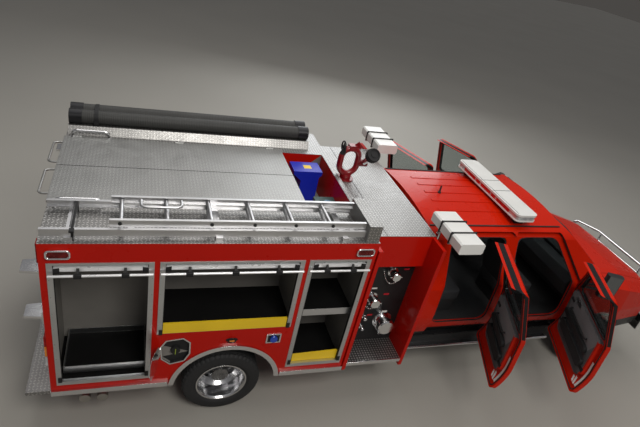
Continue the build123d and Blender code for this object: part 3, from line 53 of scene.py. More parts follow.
# Camera, floor and lamps.
# The camera stands high behind the right side, leaning over, as the photograph's does.
# The floor is plain, pale and warm; broad lamps and a soft sky light the vehicle.
camera_place = (-3.1009, -4.6676, 4.7614)
camera_yaw, camera_pitch, camera_roll = np.radians((23.222, -30.618, 13.505))
lens_mm, film_mm = 28.635, 36.0


def camera_turn(yaw, pitch, roll):
    """Camera matrix from a heading off +Y, a tilt above the horizon and a roll about the view."""
    view = Vector((np.sin(yaw) * np.cos(pitch), np.cos(yaw) * np.cos(pitch), np.sin(pitch)))
    level = Vector((np.cos(yaw), -np.sin(yaw), 0))
    upright = level.cross(view)
    across = np.cos(roll) * level + np.sin(roll) * upright
    rise = -np.sin(roll) * level + np.cos(roll) * upright
    return Matrix((across, rise, -view)).transposed()


scene = bpy.context.scene
scene.view_settings.view_transform = "Standard"
camera = bpy.data.objects.new("camera", bpy.data.cameras.new("camera"))
camera.data.lens = lens_mm
camera.data.sensor_width = film_mm
camera.data.clip_end = 200
camera.matrix_world = Matrix.Translation(camera_place) @ camera_turn(
    camera_yaw, camera_pitch, camera_roll
).to_4x4()
scene.collection.objects.link(camera)
scene.camera = camera


def lamp(name, place, aim, size, watts, colour):
    """A square soft lamp at a place, turned to a point."""
    light = bpy.data.lights.new(name, "AREA")
    light.size = size
    light.energy = watts
    light.color = colour
    holder = bpy.data.objects.new(name, light)
    holder.location = place
    holder.rotation_euler = (Vector(aim) - Vector(place)).to_track_quat("-Z", "Y").to_euler()
    scene.collection.objects.link(holder)


lamp("key", (-0.6, -7.2, 9.0), (0, 0, 0.8), 4.0, 520, (1.0, 0.97, 0.92))
lamp("overhead", (0.0, 3.0, 10.0), (0, 0, 1.0), 10.0, 540, (1.0, 0.98, 0.95))
lamp("far_side", (3.0, 9.0, 5.0), (0, 0, 1.0), 6.0, 270, (0.95, 0.98, 1.0))

def feed(tree, node, inputs):
    """Sets a node's named inputs, or links those that are given a socket."""
    for slot, value in dict(inputs).items():
        if isinstance(value, bpy.types.NodeSocket):
            tree.links.new(value, node.inputs[slot])
        else:
            node.inputs[slot].default_value = value
    return node


def put(tree, kind, inputs=(), **settings):
    """Adds a shader node with its settings and inputs."""
    node = tree.nodes.new("ShaderNode" + kind)
    for setting, value in settings.items():
        setattr(node, setting, value)
    return feed(tree, node, inputs)


sky = bpy.data.worlds.new("sky")
scene.world = sky
sky.use_nodes = True
view_place = put(sky.node_tree, "TexCoord").outputs["Generated"]
view_height = put(sky.node_tree, "SeparateXYZ", {0: view_place}).outputs["Z"]
sky_ramp = put(sky.node_tree, "ValToRGB", {0: view_height})
low_sky, high_sky = sky_ramp.color_ramp.elements
low_sky.position, low_sky.color = 0.0, (0.16, 0.15, 0.14, 1)
high_sky.position, high_sky.color = 0.75, (0.62, 0.62, 0.63, 1)
feed(sky.node_tree, sky.node_tree.nodes["Background"], {"Color": sky_ramp.outputs[0], "Strength": 0.42})


def new_finish(name):
    """Starts a material; gives it, its node tree and its surface shader."""
    material = bpy.data.materials.new(name)
    material.use_nodes = True
    return material, material.node_tree, material.node_tree.nodes["Principled BSDF"]


def noise(tree, size, stretch=(1, 1, 1), detail=4.0):
    """Noise on the object's own coordinates: patches of a size in metres, drawn out by a stretch."""
    scale = [1 / (size * s) for s in stretch]
    turn = put(tree, "Mapping", {"Vector": put(tree, "TexCoord").outputs["Object"], "Scale": scale})
    pattern = {"Vector": turn.outputs["Vector"], "Scale": 1.0, "Detail": detail}
    return put(tree, "TexNoise", pattern).outputs["Fac"]


def spread(tree, value, low, high):
    """Maps a noise value's middle band onto a range."""
    band = {"Value": value, "From Min": 0.3, "From Max": 0.7, "To Min": low, "To Max": high}
    return put(tree, "MapRange", band).outputs["Result"]


def tint(tree, value, low, high):
    """Blends between two colours, each three numbers or a socket, by a value."""
    low, high = (end if isinstance(end, bpy.types.NodeSocket) else (*end, 1) for end in (low, high))
    return put(tree, "Mix", {"A": low, "B": high, "Factor": value}, data_type="RGBA").outputs["Result"]


def maths(tree, kind, *values):
    """One sum on numbers or sockets, such as ADD or FRACT."""
    return put(tree, "Math", enumerate(values), operation=kind).outputs[0]


def own_axes(tree):
    """The X, Y and Z of a point in the object's own coordinates."""
    return tuple(put(tree, "SeparateXYZ", {0: put(tree, "TexCoord").outputs["Object"]}).outputs)


def bump(tree, value, depth, over):
    """A direction raised by a value, at a depth in metres, over rounded edges or another relief."""
    relief = put(tree, "Bump", {"Distance": depth, "Strength": 1.0, "Height": value})
    return feed(tree, relief, {"Normal": over} if over else {}).outputs["Normal"]


def finish(name, colour, metal=0.0, rough=0.5, coat=0.0, gloss=0.35, grain=0.001, depth=0.0001,
           stretch=(1, 1, 1), patch=0.35, mottle=0.12, wipe=0.05, edge=0.0025, over=(),
           relief=None, rise=0.0015, hollow=0.5):
    """A surface whose colour, polish and relief vary as a real one's do.

    The colour goes lighter and darker by the share mottle over patches; the roughness goes up and
    down by wipe over streaks half as large; the relief is a grain of a size and depth in metres.
    Each entry of over is a function that gives a mask from the node tree, and the colour that
    covers the rest where the mask is 1. A relief is a function that gives a pattern from 0 to 1
    from the node tree; it rises by rise, and where it is low the colour loses a share, given as
    hollow: painted shade in the relief's low parts.
    """
    material, tree, shader = new_finish(name)
    base = np.array(colour)
    clouds = spread(tree, noise(tree, patch), 0, 1)
    low = tuple(base * (1 - mottle))
    high = tuple(np.minimum(base * (1 + mottle) + 0.01 * mottle, 1))
    shown = tint(tree, clouds, low, high)
    pattern = relief(tree) if relief else None
    if relief:
        # Painted shade: where the relief is low, the colour is darkened.
        shown = tint(tree, pattern, tuple(base * (1 - hollow)), shown)
    for mask, cover in over:
        shown = tint(tree, mask(tree), shown, cover)
    streaks = noise(tree, patch / 2, stretch)
    polish = spread(tree, streaks, max(rough - wipe, 0.03), min(rough + wipe, 1))
    rounded = put(tree, "Bevel", {"Radius": edge}, samples=3).outputs["Normal"] if edge else None
    surface = bump(tree, noise(tree, grain, stretch, 2.0), depth, rounded)
    if relief:
        surface = bump(tree, pattern, rise, surface)
    feed(tree, shader, {
        "Base Color": shown, "Roughness": polish, "Metallic": metal, "Specular IOR Level": gloss,
        "Coat Weight": coat, "Coat Roughness": 0.04, "Normal": surface,
    })
    return material


floor_half = 60
floor_mesh = bpy.data.meshes.new("floor")
floor_corners = [(x * floor_half, y * floor_half, 0) for x, y in ((-1, -1), (1, -1), (1, 1), (-1, 1))]
floor_mesh.from_pydata(floor_corners, [], [(0, 1, 2, 3)])
floor = bpy.data.objects.new("floor", floor_mesh)
scene.collection.objects.link(floor)
floor_mesh.materials.append(finish(
    "floor_paint", (0.34, 0.325, 0.295), rough=0.6, gloss=0.2, grain=0.01, patch=2.5, mottle=0.03, edge=0
))

# Chassis.
# Two channel rails with cross members, the engine and drive line between them, and the exhaust
# below; painted black and oiled, with bare steel at the exhaust.
chassis_black = finish("chassis_black", (0.018, 0.018, 0.019), rough=0.42, grain=0.003, mottle=0.3)
engine_grey = finish("engine_grey", (0.11, 0.11, 0.115), metal=0.3, rough=0.6, grain=0.004, depth=0.0003)
exhaust_steel = finish("exhaust_steel", (0.42, 0.40, 0.37), metal=1.0, rough=0.32, mottle=0.25, wipe=0.12)
twins_low, twins_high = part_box("rear_tyres_right")
rear_axle = (twins_low.x + twins_high.x) / 2


def dress(node, base, *others):
    """Gives a CAD node its finish, and other finishes to the faces that a rule picks.

    A rule takes x, y and z of the faces' middles, x as the way ahead of the rear axle, and the
    three parts of their outward directions, all as arrays, and gives a mask.
    """
    mesh = nodes[node].data
    mesh.materials.clear()
    mesh.materials.append(base)
    count = len(mesh.polygons)
    middles, outward = np.empty(3 * count), np.empty(3 * count)
    mesh.polygons.foreach_get("center", middles)
    mesh.polygons.foreach_get("normal", outward)
    x, y, z = middles.reshape(-1, 3).T
    pick = np.zeros(count, int)
    for number, (other, rule) in enumerate(others, 1):
        mesh.materials.append(other)
        pick[rule(x - rear_axle, y, z, outward.reshape(-1, 3).T)] = number
    mesh.polygons.foreach_set("material_index", pick)


dress("frame_rails", chassis_black)
dress("engine_block", engine_grey)
dress("drive_line", engine_grey)
dress("exhaust", exhaust_steel)
for axle_part in ("front_axle", "rear_axle", "knuckle_left", "knuckle_right"):
    dress(axle_part, chassis_black)

# Wheels.
# Polished alloy discs with chromed lug nuts on black rubber tyres; the rear ones are twins on one
# hub. A tyre is one surface, its tread moulded with zigzag grooves and shoulder blocks.
polished_rim = finish("polished_rim", (0.62, 0.62, 0.63), metal=1.0, rough=0.2, mottle=0.1, patch=0.05)
lug_chrome = finish("lug_chrome", (0.85, 0.85, 0.86), metal=1.0, rough=0.08, mottle=0.03, wipe=0.03, edge=0)
tyre_rubber = finish("tyre_rubber", (0.020, 0.020, 0.021), rough=0.7, grain=0.002, depth=0.0002, edge=0)
disc_steel = finish("disc_steel", (0.26, 0.26, 0.27), metal=1.0, rough=0.28, mottle=0.3, patch=0.06)
tyre_low, tyre_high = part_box("front_tyre_right")
tyre_radius = (tyre_high.z - tyre_low.z) / 2
tyre_half = (tyre_high.y - tyre_low.y) / 2
front_axle = (tyre_low.x + tyre_high.x) / 2 - rear_axle


def turns(count):
    """Even steps round a full turn, in radians."""
    return np.linspace(0, 2 * np.pi, count, endpoint=False)


def grid(points):
    """Quads over a (rows, columns, 3) array of points, each row closing into a ring."""
    rows, columns = points.shape[:2]
    row, here = np.arange(rows - 1)[:, None] * columns, np.arange(columns)
    beside = (here + 1) % columns
    quads = np.stack((row + here, row + beside, row + columns + beside, row + columns + here), -1)
    return points.reshape(-1, 3), quads.reshape(-1, 4)


def across(along):
    """A direction, cut to length 1, and two square to it and to each other."""
    along = np.array(along, float) / np.linalg.norm(along)
    side = np.cross(along, (0.31, 0.52, 0.80))
    side /= np.linalg.norm(side)
    return along, side, np.cross(along, side)


def spin(profile, centre, along, sides=32):
    """Turns a profile, rows of (radius, distance along), about an axis through a point."""
    along, side, up = across(along)
    angle = turns(sides)[None, :, None]
    radius, reach = (np.array(profile, float)[:, column, None, None] for column in (0, 1))
    return grid(np.array(centre) + reach * along + radius * (np.cos(angle) * side + np.sin(angle) * up))


def piece(name, material, *parts, body="root", bevel=0.0, smooth=40):
    """Makes one object of (points, faces) parts, whose x is the way ahead of the rear axle.

    Its edges are rounded by bevel, and it is shaded smooth over edges below an angle in degrees.
    """
    points = np.vstack([corners for corners, _ in parts]) + (rear_axle, 0, 0)
    starts = np.cumsum([0] + [len(corners) for corners, _ in parts[:-1]])
    faces = np.vstack([quads + start for (_, quads), start in zip(parts, starts)])
    mesh = bpy.data.meshes.new(name)
    mesh.from_pydata(points.tolist(), [], faces.tolist())
    shape = bmesh.new()
    shape.from_mesh(mesh)
    bmesh.ops.remove_doubles(shape, verts=shape.verts, dist=1e-6)
    bmesh.ops.recalc_face_normals(shape, faces=shape.faces)
    shape.to_mesh(mesh)
    shape.free()
    mesh.materials.append(material)
    mesh.polygons.foreach_set("use_smooth", np.ones(len(mesh.polygons), bool))
    mesh.set_sharp_from_angle(angle=np.radians(smooth))
    item = bpy.data.objects.new(name, mesh)
    scene.collection.objects.link(item)
    if bevel:
        edges = item.modifiers.new("edges", "BEVEL")
        edges.width = bevel
        edges.segments = 2
        edges.limit_method = "ANGLE"
    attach(item, body)
    return item


def tyre(middle):
    """A tyre about its middle point, as one surface of (way across the section, angle).

    The section follows the moulded outline, twice smoothed. Under the tread the radius sinks by
    groove_depth times exp(-(d/w)^2), where d is the way to a zigzag groove's line and w its half
    width, and on the shoulders by a square wave round the tyre.
    """
    rings, blocks, bead_radius = 288, 48, 0.2485
    groove_depth, groove_width, zigzag_half = 0.008, 0.0035, 0.004
    shoulder_radius = tyre_radius - 0.022
    wall = np.array((
        (tyre_half - 0.024, bead_radius), (tyre_half - 0.024, bead_radius + 0.014),
        (tyre_half - 0.003, bead_radius + 0.040), (tyre_half - 0.0005, tyre_radius - 0.072),
        (tyre_half - 0.008, tyre_radius - 0.024), (tyre_half - 0.026, tyre_radius - 0.004),
    ))
    way = np.concatenate(([0], np.cumsum(np.hypot(*np.diff(wall, axis=0).T))))
    offset, radius = (np.interp(np.linspace(0, way[-1], 20), way, wall[:, column]) for column in (0, 1))
    tread = np.linspace(offset[-1], -offset[-1], 48)[1:-1]
    offset = np.concatenate((offset, tread, -offset[::-1]))
    radius = np.concatenate((radius, np.full(len(tread), tyre_radius - 0.0005), radius[::-1]))
    for _ in range(2):
        radius[1:-1] = (radius[:-2] + 2 * radius[1:-1] + radius[2:]) / 4
    angle = turns(rings)
    block_part = (angle * blocks / (2 * np.pi)) % 1
    zigzag = zigzag_half * (4 * np.abs(block_part - 0.5) - 1)
    sink = np.zeros((len(offset), rings))
    for line in (-0.048, -0.016, 0.016, 0.048):
        gap = offset[:, None] - line - zigzag[None, :]
        sink = np.maximum(sink, groove_depth * np.exp(-((gap / groove_width) ** 2)))
    shoulder = (np.abs(offset) > 0.058) & (radius > shoulder_radius)
    sink = np.maximum(sink, groove_depth * (shoulder[:, None] & (block_part < 0.2)))
    reach = radius[:, None] - sink * (radius[:, None] > shoulder_radius)
    points = np.stack((reach * np.cos(angle), offset[:, None] + 0 * reach, reach * np.sin(angle)), -1)
    return grid(np.concatenate((points, points[:1])) + np.array(middle))


def lugs(axle_x, face, sign, circle=0.1125):
    """Ten domed nuts in a ring on a wheel's disc."""
    nut = ((0, 0), (0.016, 0), (0.016, 0.026), (0.013, 0.036), (0.006, 0.042), (0, 0.043))
    ahead, height = axle_x + circle * np.cos(turns(10)), tyre_radius + circle * np.sin(turns(10))
    return [spin(nut, (x, face, z), (0, sign, 0), 6) for x, z in zip(ahead, height)]


for side, sign in (("left", 1), ("right", -1)):
    low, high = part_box(f"front_tyre_{side}")
    rubber = tyre((front_axle, (low.y + high.y) / 2, tyre_radius))
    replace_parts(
        piece(f"front_tread_{side}", tyre_rubber, rubber, body=f"front_wheel_{side}"), f"front_tyre_{side}"
    )
    low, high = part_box(f"rear_tyres_{side}")
    pair = [tyre((0, y, tyre_radius)) for y in (low.y + tyre_half, high.y - tyre_half)]
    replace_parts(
        piece(f"rear_treads_{side}", tyre_rubber, *pair, body=f"rear_wheels_{side}"), f"rear_tyres_{side}"
    )
    # columns: lug nuts, body, rims, place of the axle, face of the disc
    for nuts, wheel, rims, axle_x, disc_face in (
        ("front_lugs", "front_wheel", "front_rim", front_axle, 1.038),
        ("rear_lugs", "rear_wheels", "rear_rims", 0, 0.956),
    ):
        ring = lugs(axle_x, sign * disc_face, sign)
        piece(f"{nuts}_{side}", lug_chrome, *ring, body=f"{wheel}_{side}", smooth=25)
        dress(
            f"{rims}_{side}", polished_rim,
            (disc_steel, lambda x, y, z, out: np.hypot(x - axle_x, z - tyre_radius) < 0.185)
        )

# Body.
# Sheet metal side boxes painted red outside and light grey inside; the wheel houses are black
# and the tank's bay red. The openings have satin aluminium frames with dark corner blocks.


def paint(name, colour, rough=0.28, coat=0.14, over=()):
    """Smooth paint under a clear coat."""
    return finish(
        name, colour, rough=rough, coat=coat, gloss=0.1, depth=0.00001, patch=0.8, mottle=0.05, over=over
    )


red_paint = paint("red_paint", (0.47, 0.007, 0.002), 0.3, 0.12)
inside_grey = finish("inside_grey", (0.20, 0.19, 0.175), rough=0.5, mottle=0.08)
satin_aluminium = finish(
    "satin_aluminium", (0.60, 0.61, 0.62), metal=1.0, rough=0.34, stretch=(30, 1, 1), depth=0.00003,
    mottle=0.06
)
gasket_black = finish("gasket_black", (0.012, 0.012, 0.013), rough=0.6, grain=0.002, edge=0)
black_mat = finish("black_mat", (0.005, 0.005, 0.005), rough=0.9, gloss=0.1, grain=0.004, depth=0.0004)
lip_yellow = finish("lip_yellow", (0.86, 0.58, 0.02), rough=0.45, mottle=0.06)
bright_trim = finish("bright_trim", (0.74, 0.74, 0.75), metal=1.0, rough=0.12, mottle=0.05)
body_low, body_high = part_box("body_shell")
body_half = body_high.y
hair = 0.001
bed_floor, core_half, bay_back, bay_front = 1.754, 0.600, 0.733, 1.241
house_top, house_middle, house_half = 1.168, 0.020, 0.544


def outer_skin(x, y, z, out):
    """Faces on the body's outside."""
    ends = (x < body_low.x - rear_axle + hair) | (x > body_high.x - rear_axle - hair)
    return ends | (abs(y) > body_half - hair) | (z > body_high.z - hair) | (z < body_low.z + hair)


def bay_lining(x, y, z, out):
    """Faces of the bay round the tank's towers."""
    bay = (z > bed_floor) & (abs(y) < core_half + hair)
    return bay & (x > bay_back - hair) & (x < bay_front + hair)


def house_lining(x, y, z, out):
    """Faces inside the wheel houses."""
    return (z < house_top) & (abs(x - house_middle) < house_half) & (abs(y) < body_half - 0.004)


dress(
    "body_shell", inside_grey, (gasket_black, house_lining), (red_paint, bay_lining), (red_paint, outer_skin)
)
dress("shutter_frames", satin_aluminium)
lift_height, lift_y = 1.922, body_half + 0.036


def brackets(x, y, z, out):
    """Black blocks on the curtain's bar and lift rail: all that stands before the frame but the rail."""
    return (abs(y) > body_half + 0.0025) & (np.hypot(abs(y) - lift_y, z - lift_height) > 0.0115)


def slab(low, high):
    """A box between two corners."""
    low, high = np.minimum(low, high), np.maximum(low, high)
    square = ((0, 0), (1, 0), (1, 1), (0, 1))
    corner = np.array([(*flat, level) for level in (0, 1) for flat in square])
    faces = ((0, 3, 2, 1), (4, 5, 6, 7), (0, 1, 5, 4), (1, 2, 6, 5), (2, 3, 7, 6), (3, 0, 4, 7))
    return low + corner * (high - low), np.array(faces)


bar_aluminium = finish("bar_aluminium", (0.88, 0.89, 0.90), metal=0.45, rough=0.3, mottle=0.04)
dress("shutters", bar_aluminium, (gasket_black, brackets))
clamps = []
for sign in (-1, 1):
    for back, front, count in ((-1.466, -0.756, 2), (-0.622, 0.551, 3), (0.683, 1.210, 2)):
        for x in back + (front - back) * (np.arange(count) + 0.5) / count:
            clamps.append(slab((x - 0.030, sign * (lift_y - 0.014), lift_height - 0.020),
                               (x + 0.030, sign * (lift_y + 0.016), lift_height + 0.018)))
piece("lift_rail_clamps", gasket_black, *clamps, bevel=0.004)
shelf_face, shelf_low = 1.160, 1.284


def lips(x, y, z, out):
    """The yellow lips of the middle and front trays."""
    lip = (z > 1.1968) | (z < 1.10) & (z > 0.6335)
    shelf_top = (abs(out[2]) > 0.5) & (z > 1.19) & (z < 1.26)
    return (x > -0.69) & (abs(y) > shelf_face + 0.004) & lip & ~shelf_top


def tray_edges(x, y, z, out):
    """Bare aluminium: the slide-out tray's rim, its runners and the shelf's lip."""
    slide_out = (x < -0.70) & ((z > 0.745) | (z > 0.645) & (abs(out[2]) < 0.5))
    shelf = (abs(abs(y) - shelf_face) < 0.0055) & (z > shelf_low - 0.01) & (z < 1.38)
    return slide_out | shelf


dress("compartment_trays", black_mat, (lip_yellow, lips), (satin_aluminium, tray_edges))
# columns: back and front edge of the frame, bottom of the opening, screws up each side
compartments = ((-1.511, -0.711, 0.664, 7), (-0.667, 0.596, 1.195, 4), (0.638, 1.255, 0.652, 7))
corner_blocks, gaskets, frame_screws = [], [], []
screw = ((0, 0), (0.0045, 0), (0.004, 0.0015), (0.002, 0.0025), (0, 0.0028))
frame_width, frame_face = 0.045, body_half + 0.006
for sign in (-1, 1):
    for back, front, foot, count in compartments:
        for edge, inward in ((back, 1), (front, -1)):
            bar = edge + inward * frame_width
            corner_blocks.append(slab((bar - inward * 0.030, sign * frame_face, foot - 0.005),
                                      (bar + inward * 0.003, sign * (frame_face + 0.007), foot + 0.055)))
            gaskets.append(slab((bar, sign * (body_half - 0.020), foot + 0.003),
                                (bar + inward * 0.004, sign * (frame_face + 0.002), 2.003)))
            for height in np.linspace(foot + 0.12, 1.86, count):
                place = (edge + inward * 0.014, sign * frame_face, height)
                frame_screws.append(spin(screw, place, (0, sign, 0), 8))
piece("corner_blocks", gasket_black, *corner_blocks, bevel=0.002)
piece("frame_gaskets", gasket_black, *gaskets)
piece("frame_screws", bright_trim, *frame_screws)

# Tank and its filling towers.
# Welded plastic: the foam tower is blue with a blank yellow label on its lid, the water tower grey
# green with a round knob of pale blue.
tank_white = finish("tank_white", (0.30, 0.30, 0.28), rough=0.5)
foam_blue = finish("foam_blue", (0.008, 0.020, 0.42), rough=0.34, mottle=0.08)
water_green = finish("water_green", (0.045, 0.085, 0.080), rough=0.42, mottle=0.08)
knob_blue = finish("knob_blue", (0.10, 0.20, 0.30), rough=0.3, coat=0.5)
label_yellow = finish("label_yellow", (0.80, 0.55, 0.02), rough=0.4, edge=0)
tank_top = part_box("tank")[1].z
dress(
    "tank", tank_white,
    (foam_blue, lambda x, y, z, out: (z > bed_floor + 0.003) & (y > 0.2)),
    (water_green, lambda x, y, z, out: (z > bed_floor + 0.003) & (y < 0.2)),
    (knob_blue, lambda x, y, z, out: (z > 2.0005) & (y < 0.2)),
)
piece("foam_label", label_yellow, slab((0.960, 0.330, tank_top), (1.050, 0.410, tank_top + 0.0008)))

# Decks, covers and steps.
# Bright aluminium tread plate; the two hose bed covers swing up at their outer edges. The rails
# beside them are polished tube.


def lozenges(pitch):
    """A relief of raised tread plate: lozenges in a square lattice, leaning left and right by turns.

    In a cell of the pitch, (u/0.52)^2 + (v/0.15)^2 is taken along and across the lozenge; its top
    is the rest to 1, cut off flat. A wall shows the same lattice on its height.
    """
    def relief(tree):
        do = partial(maths, tree)
        x, y, z = own_axes(tree)
        first, second = do("DIVIDE", x, pitch), do("DIVIDE", do("ADD", z, y), pitch)
        cell_sum = do("ADD", do("FLOOR", first), do("FLOOR", second))
        lean = do("MULTIPLY_ADD", do("FLOORED_MODULO", cell_sum, 2.0), 2.0, -1.0)
        u = do("SUBTRACT", do("FRACT", first), 0.5)
        v = do("MULTIPLY", do("SUBTRACT", do("FRACT", second), 0.5), lean)
        long_way = do("POWER", do("DIVIDE", do("ADD", u, v), 0.735), 2.0)
        short_way = do("POWER", do("DIVIDE", do("SUBTRACT", u, v), 0.212), 2.0)
        rest = do("SUBTRACT", 1.0, do("ADD", long_way, short_way))
        return do("DIVIDE", do("MINIMUM", do("MAXIMUM", rest, 0.0), 0.6), 0.6)

    return relief


# Painted shade: the flat field between the raised lozenges is darkened by 55 %.
tread_plate = finish(
    "tread_plate", (0.60, 0.59, 0.575), metal=0.9, rough=0.36, mottle=0.1, relief=lozenges(0.032), hollow=0.55
)
# Painted shade: the flat field between the cover's lozenges is darkened by a fifth.
cover_plate = finish(
    "cover_plate", (0.43, 0.43, 0.42), metal=0.9, rough=0.40, mottle=0.10, relief=lozenges(0.032), hollow=0.2,
    rise=0.0008
)
for side in ("left", "right"):
    dress(f"hosebed_cover_{side}", cover_plate)
cover_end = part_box("hosebed_cover_left")[1]
cover_front, cover_top = cover_end.x - rear_axle, cover_end.z
meeting = slab((-1.540, -0.0028, cover_top - 0.009), (cover_front - 0.004, 0.0048, cover_top - 0.0074))
piece("cover_seam", gasket_black, meeting, body="cover_left")
cap_x, cap_z = -0.490, 0.960
filler_x, filler_z = 0.447, 1.047
cap_blue = finish("cap_blue", (0.01, 0.06, 0.45), rough=0.25, coat=0.6)


def fuel_cap(x, y, z, out):
    """The dark recess of the fuel cap."""
    return (np.hypot(x - cap_x, z - cap_z) < 0.046) & (y > -body_half)


def filler_cap(x, y, z, out):
    """The blue cap of the small filler."""
    return (np.hypot(x - filler_x, z - filler_z) < 0.0385) & (y < -body_half - 0.0085)


dress(
    "body_trim", bright_trim, (gasket_black, fuel_cap), (cap_blue, filler_cap),
    (red_paint, lambda x, y, z, out: (y < -body_half - 0.016) & (x < -0.600) & (out[0] < -0.5)),
)
recess = slab((filler_x - 0.060, -body_half - 0.0082, filler_z - 0.045),
              (filler_x + 0.060, -body_half - 0.0088, filler_z + 0.045))
piece("filler_face", gasket_black, recess)
tether_green = finish("tether_green", (0.25, 0.32, 0.04), rough=0.5, edge=0)
tether = slab((cap_x - 0.004, -body_half - 0.0002, 0.915), (cap_x + 0.004, -body_half - 0.0022, 0.985))
piece("fuel_tether", tether_green, tether)
dress("grab_rails", bright_trim)


def curve(points, radius, steps=6, closed=False):
    """A path whose corners C are rounded: (1-t)^2 A + 2t(1-t) C + t^2 B, with A and B near C."""
    points = np.array(points, float)

    def towards(other):
        gap = other - points
        length = np.maximum(np.linalg.norm(gap, axis=1, keepdims=True), 1e-9)
        return points + gap / length * np.minimum(radius, length * 0.49)

    t = np.linspace(0, 1, steps)[None, :, None]
    before, after = towards(np.roll(points, 1, 0))[:, None], towards(np.roll(points, -1, 0))[:, None]
    path = (1 - t) ** 2 * before + 2 * t * (1 - t) * points[:, None] + t ** 2 * after
    if closed:
        return path.reshape(-1, points.shape[1])
    return np.vstack((points[:1], path[1:-1].reshape(-1, points.shape[1]), points[-1:]))


def tube(path, radius, normal, sides=10, closed=False):
    """A round bar along a flat path, whose plane has the given normal; open ends are capped."""
    path = np.array(path, float)
    run = np.roll(path, -1, 0) - np.roll(path, 1, 0)
    if not closed:
        run[0], run[-1] = path[1] - path[0], path[-1] - path[-2]
    side = np.cross(run, normal)
    side /= np.linalg.norm(side, axis=1, keepdims=True)
    angle = turns(sides)[None, :, None]
    rings = path[:, None] + radius * (np.cos(angle) * side[:, None] + np.sin(angle) * np.array(normal, float))
    if closed:
        return grid(np.concatenate((rings, rings[:1])))
    ends = [np.repeat(path[end][None, None], sides, 1) for end in (0, -1)]
    return grid(np.concatenate((ends[0], rings, ends[1])))


flange = ((0, 0), (0.032, 0), (0.032, 0.005), (0.018, 0.011), (0, 0.011))
rail_y, rail_foot, arch_radius, arch_height = 0.675, 2.215, 0.540, 0.430
lamp_places, lamp_height = (-1.421, 1.163), 2.120
rim_long, rim_tall, rim_corner = 0.0835, 0.036, 0.022
flanges, trim_screws, lamp_rims = [], [], []
for sign in (-1, 1):
    for x in (-1.500, -1.150):
        flanges.append(spin(flange, (x, sign * rail_y, rail_foot), (0, 0, 1), 20))
    for angle in np.radians(np.arange(6, 180, 21)):
        across_arch, up_arch = arch_radius * np.cos(angle), arch_radius * np.sin(angle)
        place = (house_middle + across_arch, sign * (body_half + 0.022), arch_height + up_arch)
        trim_screws.append(spin(screw, place, (0, sign, 0), 8))
    for x in np.arange(-1.50, -0.6, 0.2).tolist() + np.arange(0.68, 1.28, 0.2).tolist():
        trim_screws.append(spin(screw, (x, sign * (body_half + 0.026), 0.530), (0, sign, 0), 8))
    for x in lamp_places:
        rim = [(x + u * rim_long, sign * (body_half + 0.021), lamp_height + v * rim_tall)
               for u, v in ((-1, -1), (1, -1), (1, 1), (-1, 1))]
        lamp_rims.append(tube(curve(rim, rim_corner, closed=True), 0.0075, (0, sign, 0), 8, closed=True))
piece("rail_flanges", bright_trim, *flanges)
piece("lamp_rims", lug_chrome, *lamp_rims, smooth=60)
piece("trim_screws", lug_chrome, *trim_screws)

# Pump module.
# A red house with a black panel on each side, chrome inlets and outlets, and fixed red wings. The
# caps hang on chains, blank tags name the valves, and the left side has the operator's gauges.
panel_black = finish("panel_black", (0.010, 0.010, 0.011), rough=0.32, mottle=0.2)
chrome = finish("chrome", (0.82, 0.82, 0.83), metal=1.0, rough=0.09, mottle=0.03, wipe=0.03)
tag_red = finish("tag_red", (0.45, 0.01, 0.02), rough=0.4, edge=0)
tag_white = finish("tag_white", (0.75, 0.75, 0.72), rough=0.4, edge=0)
panel_face, pump_back, pump_front, step_height = 0.896, 1.340, 2.000, 0.600


def dots(pitch, radius):
    """A relief of round bosses in a square lattice, seen from above.

    In a cell of the pitch, a boss is where the root of u^2 + v^2 is below the share radius / pitch.
    """
    def relief(tree):
        do = partial(maths, tree)
        u, v = (do("SUBTRACT", do("FRACT", do("DIVIDE", way, pitch)), 0.5) for way in own_axes(tree)[:2])
        far = do("SQRT", do("ADD", do("POWER", u, 2.0), do("POWER", v, 2.0)))
        return do("LESS_THAN", far, radius / pitch)

    return relief


def pump_steps(x, y, z, out):
    """The tread plates' steps beside the pump."""
    return (x > pump_back - 0.06) & (x < pump_front + 0.06) & (z < step_height + 0.05) & (abs(y) > 0.85)


dress("pump_house", red_paint)
dress("pump_panels", panel_black, (chrome, lambda x, y, z, out: abs(y) > panel_face + hair / 2))
# Painted shade: the field between the round bosses keeps only a quarter of its colour.
step_grip = finish(
    "step_grip", (0.60, 0.60, 0.60), metal=0.9, rough=0.4, relief=dots(0.032, 0.009), hollow=0.75, rise=0.002
)
dress("tread_plates", tread_plate, (step_grip, pump_steps))
step_edges = [
    slab((pump_back, sign * 1.2305, step_height - 0.044), (pump_front, sign * 1.218, step_height + 0.004))
    for sign in (-1, 1)
]
piece("pump_step_edges", bright_trim, *step_edges, bevel=0.002)
piece("pump_roof_seam", gasket_black, slab((1.478, -0.995, 2.1465), (1.484, 0.995, 2.1478)))
link_pitch, link_wire = 0.016, 0.0022


def chain(start, sag, end):
    """Links along a hanging curve z = start + (end - start) t - 4 sag t (1 - t), turned by quarter turns."""
    start, end = np.array(start), np.array(end)
    t = np.linspace(0, 1, int((np.linalg.norm(end - start) + 2 * sag) / link_pitch))
    path = start + (end - start) * t[:, None]
    path[:, 2] -= 4 * sag * t * (1 - t)
    angle = turns(10)[:, None]
    links = []
    for number, place in enumerate(path[:-1]):
        along, side, up = across(path[number + 1] - place)
        flat = side if number % 2 else up
        loop = place + link_pitch * 0.7 * np.cos(angle) * along + 0.005 * np.sin(angle) * flat
        links.append(tube(loop, link_wire, np.cross(along, flat), 5, closed=True))
    return links


def panel_tag(sign, x_ends, z_ends):
    """A thin blank plate on the pump's panel."""
    foot, face = sign * panel_face, sign * (panel_face + 0.002)
    return slab((x_ends[0], foot, z_ends[0]), (x_ends[1], face, z_ends[1]))


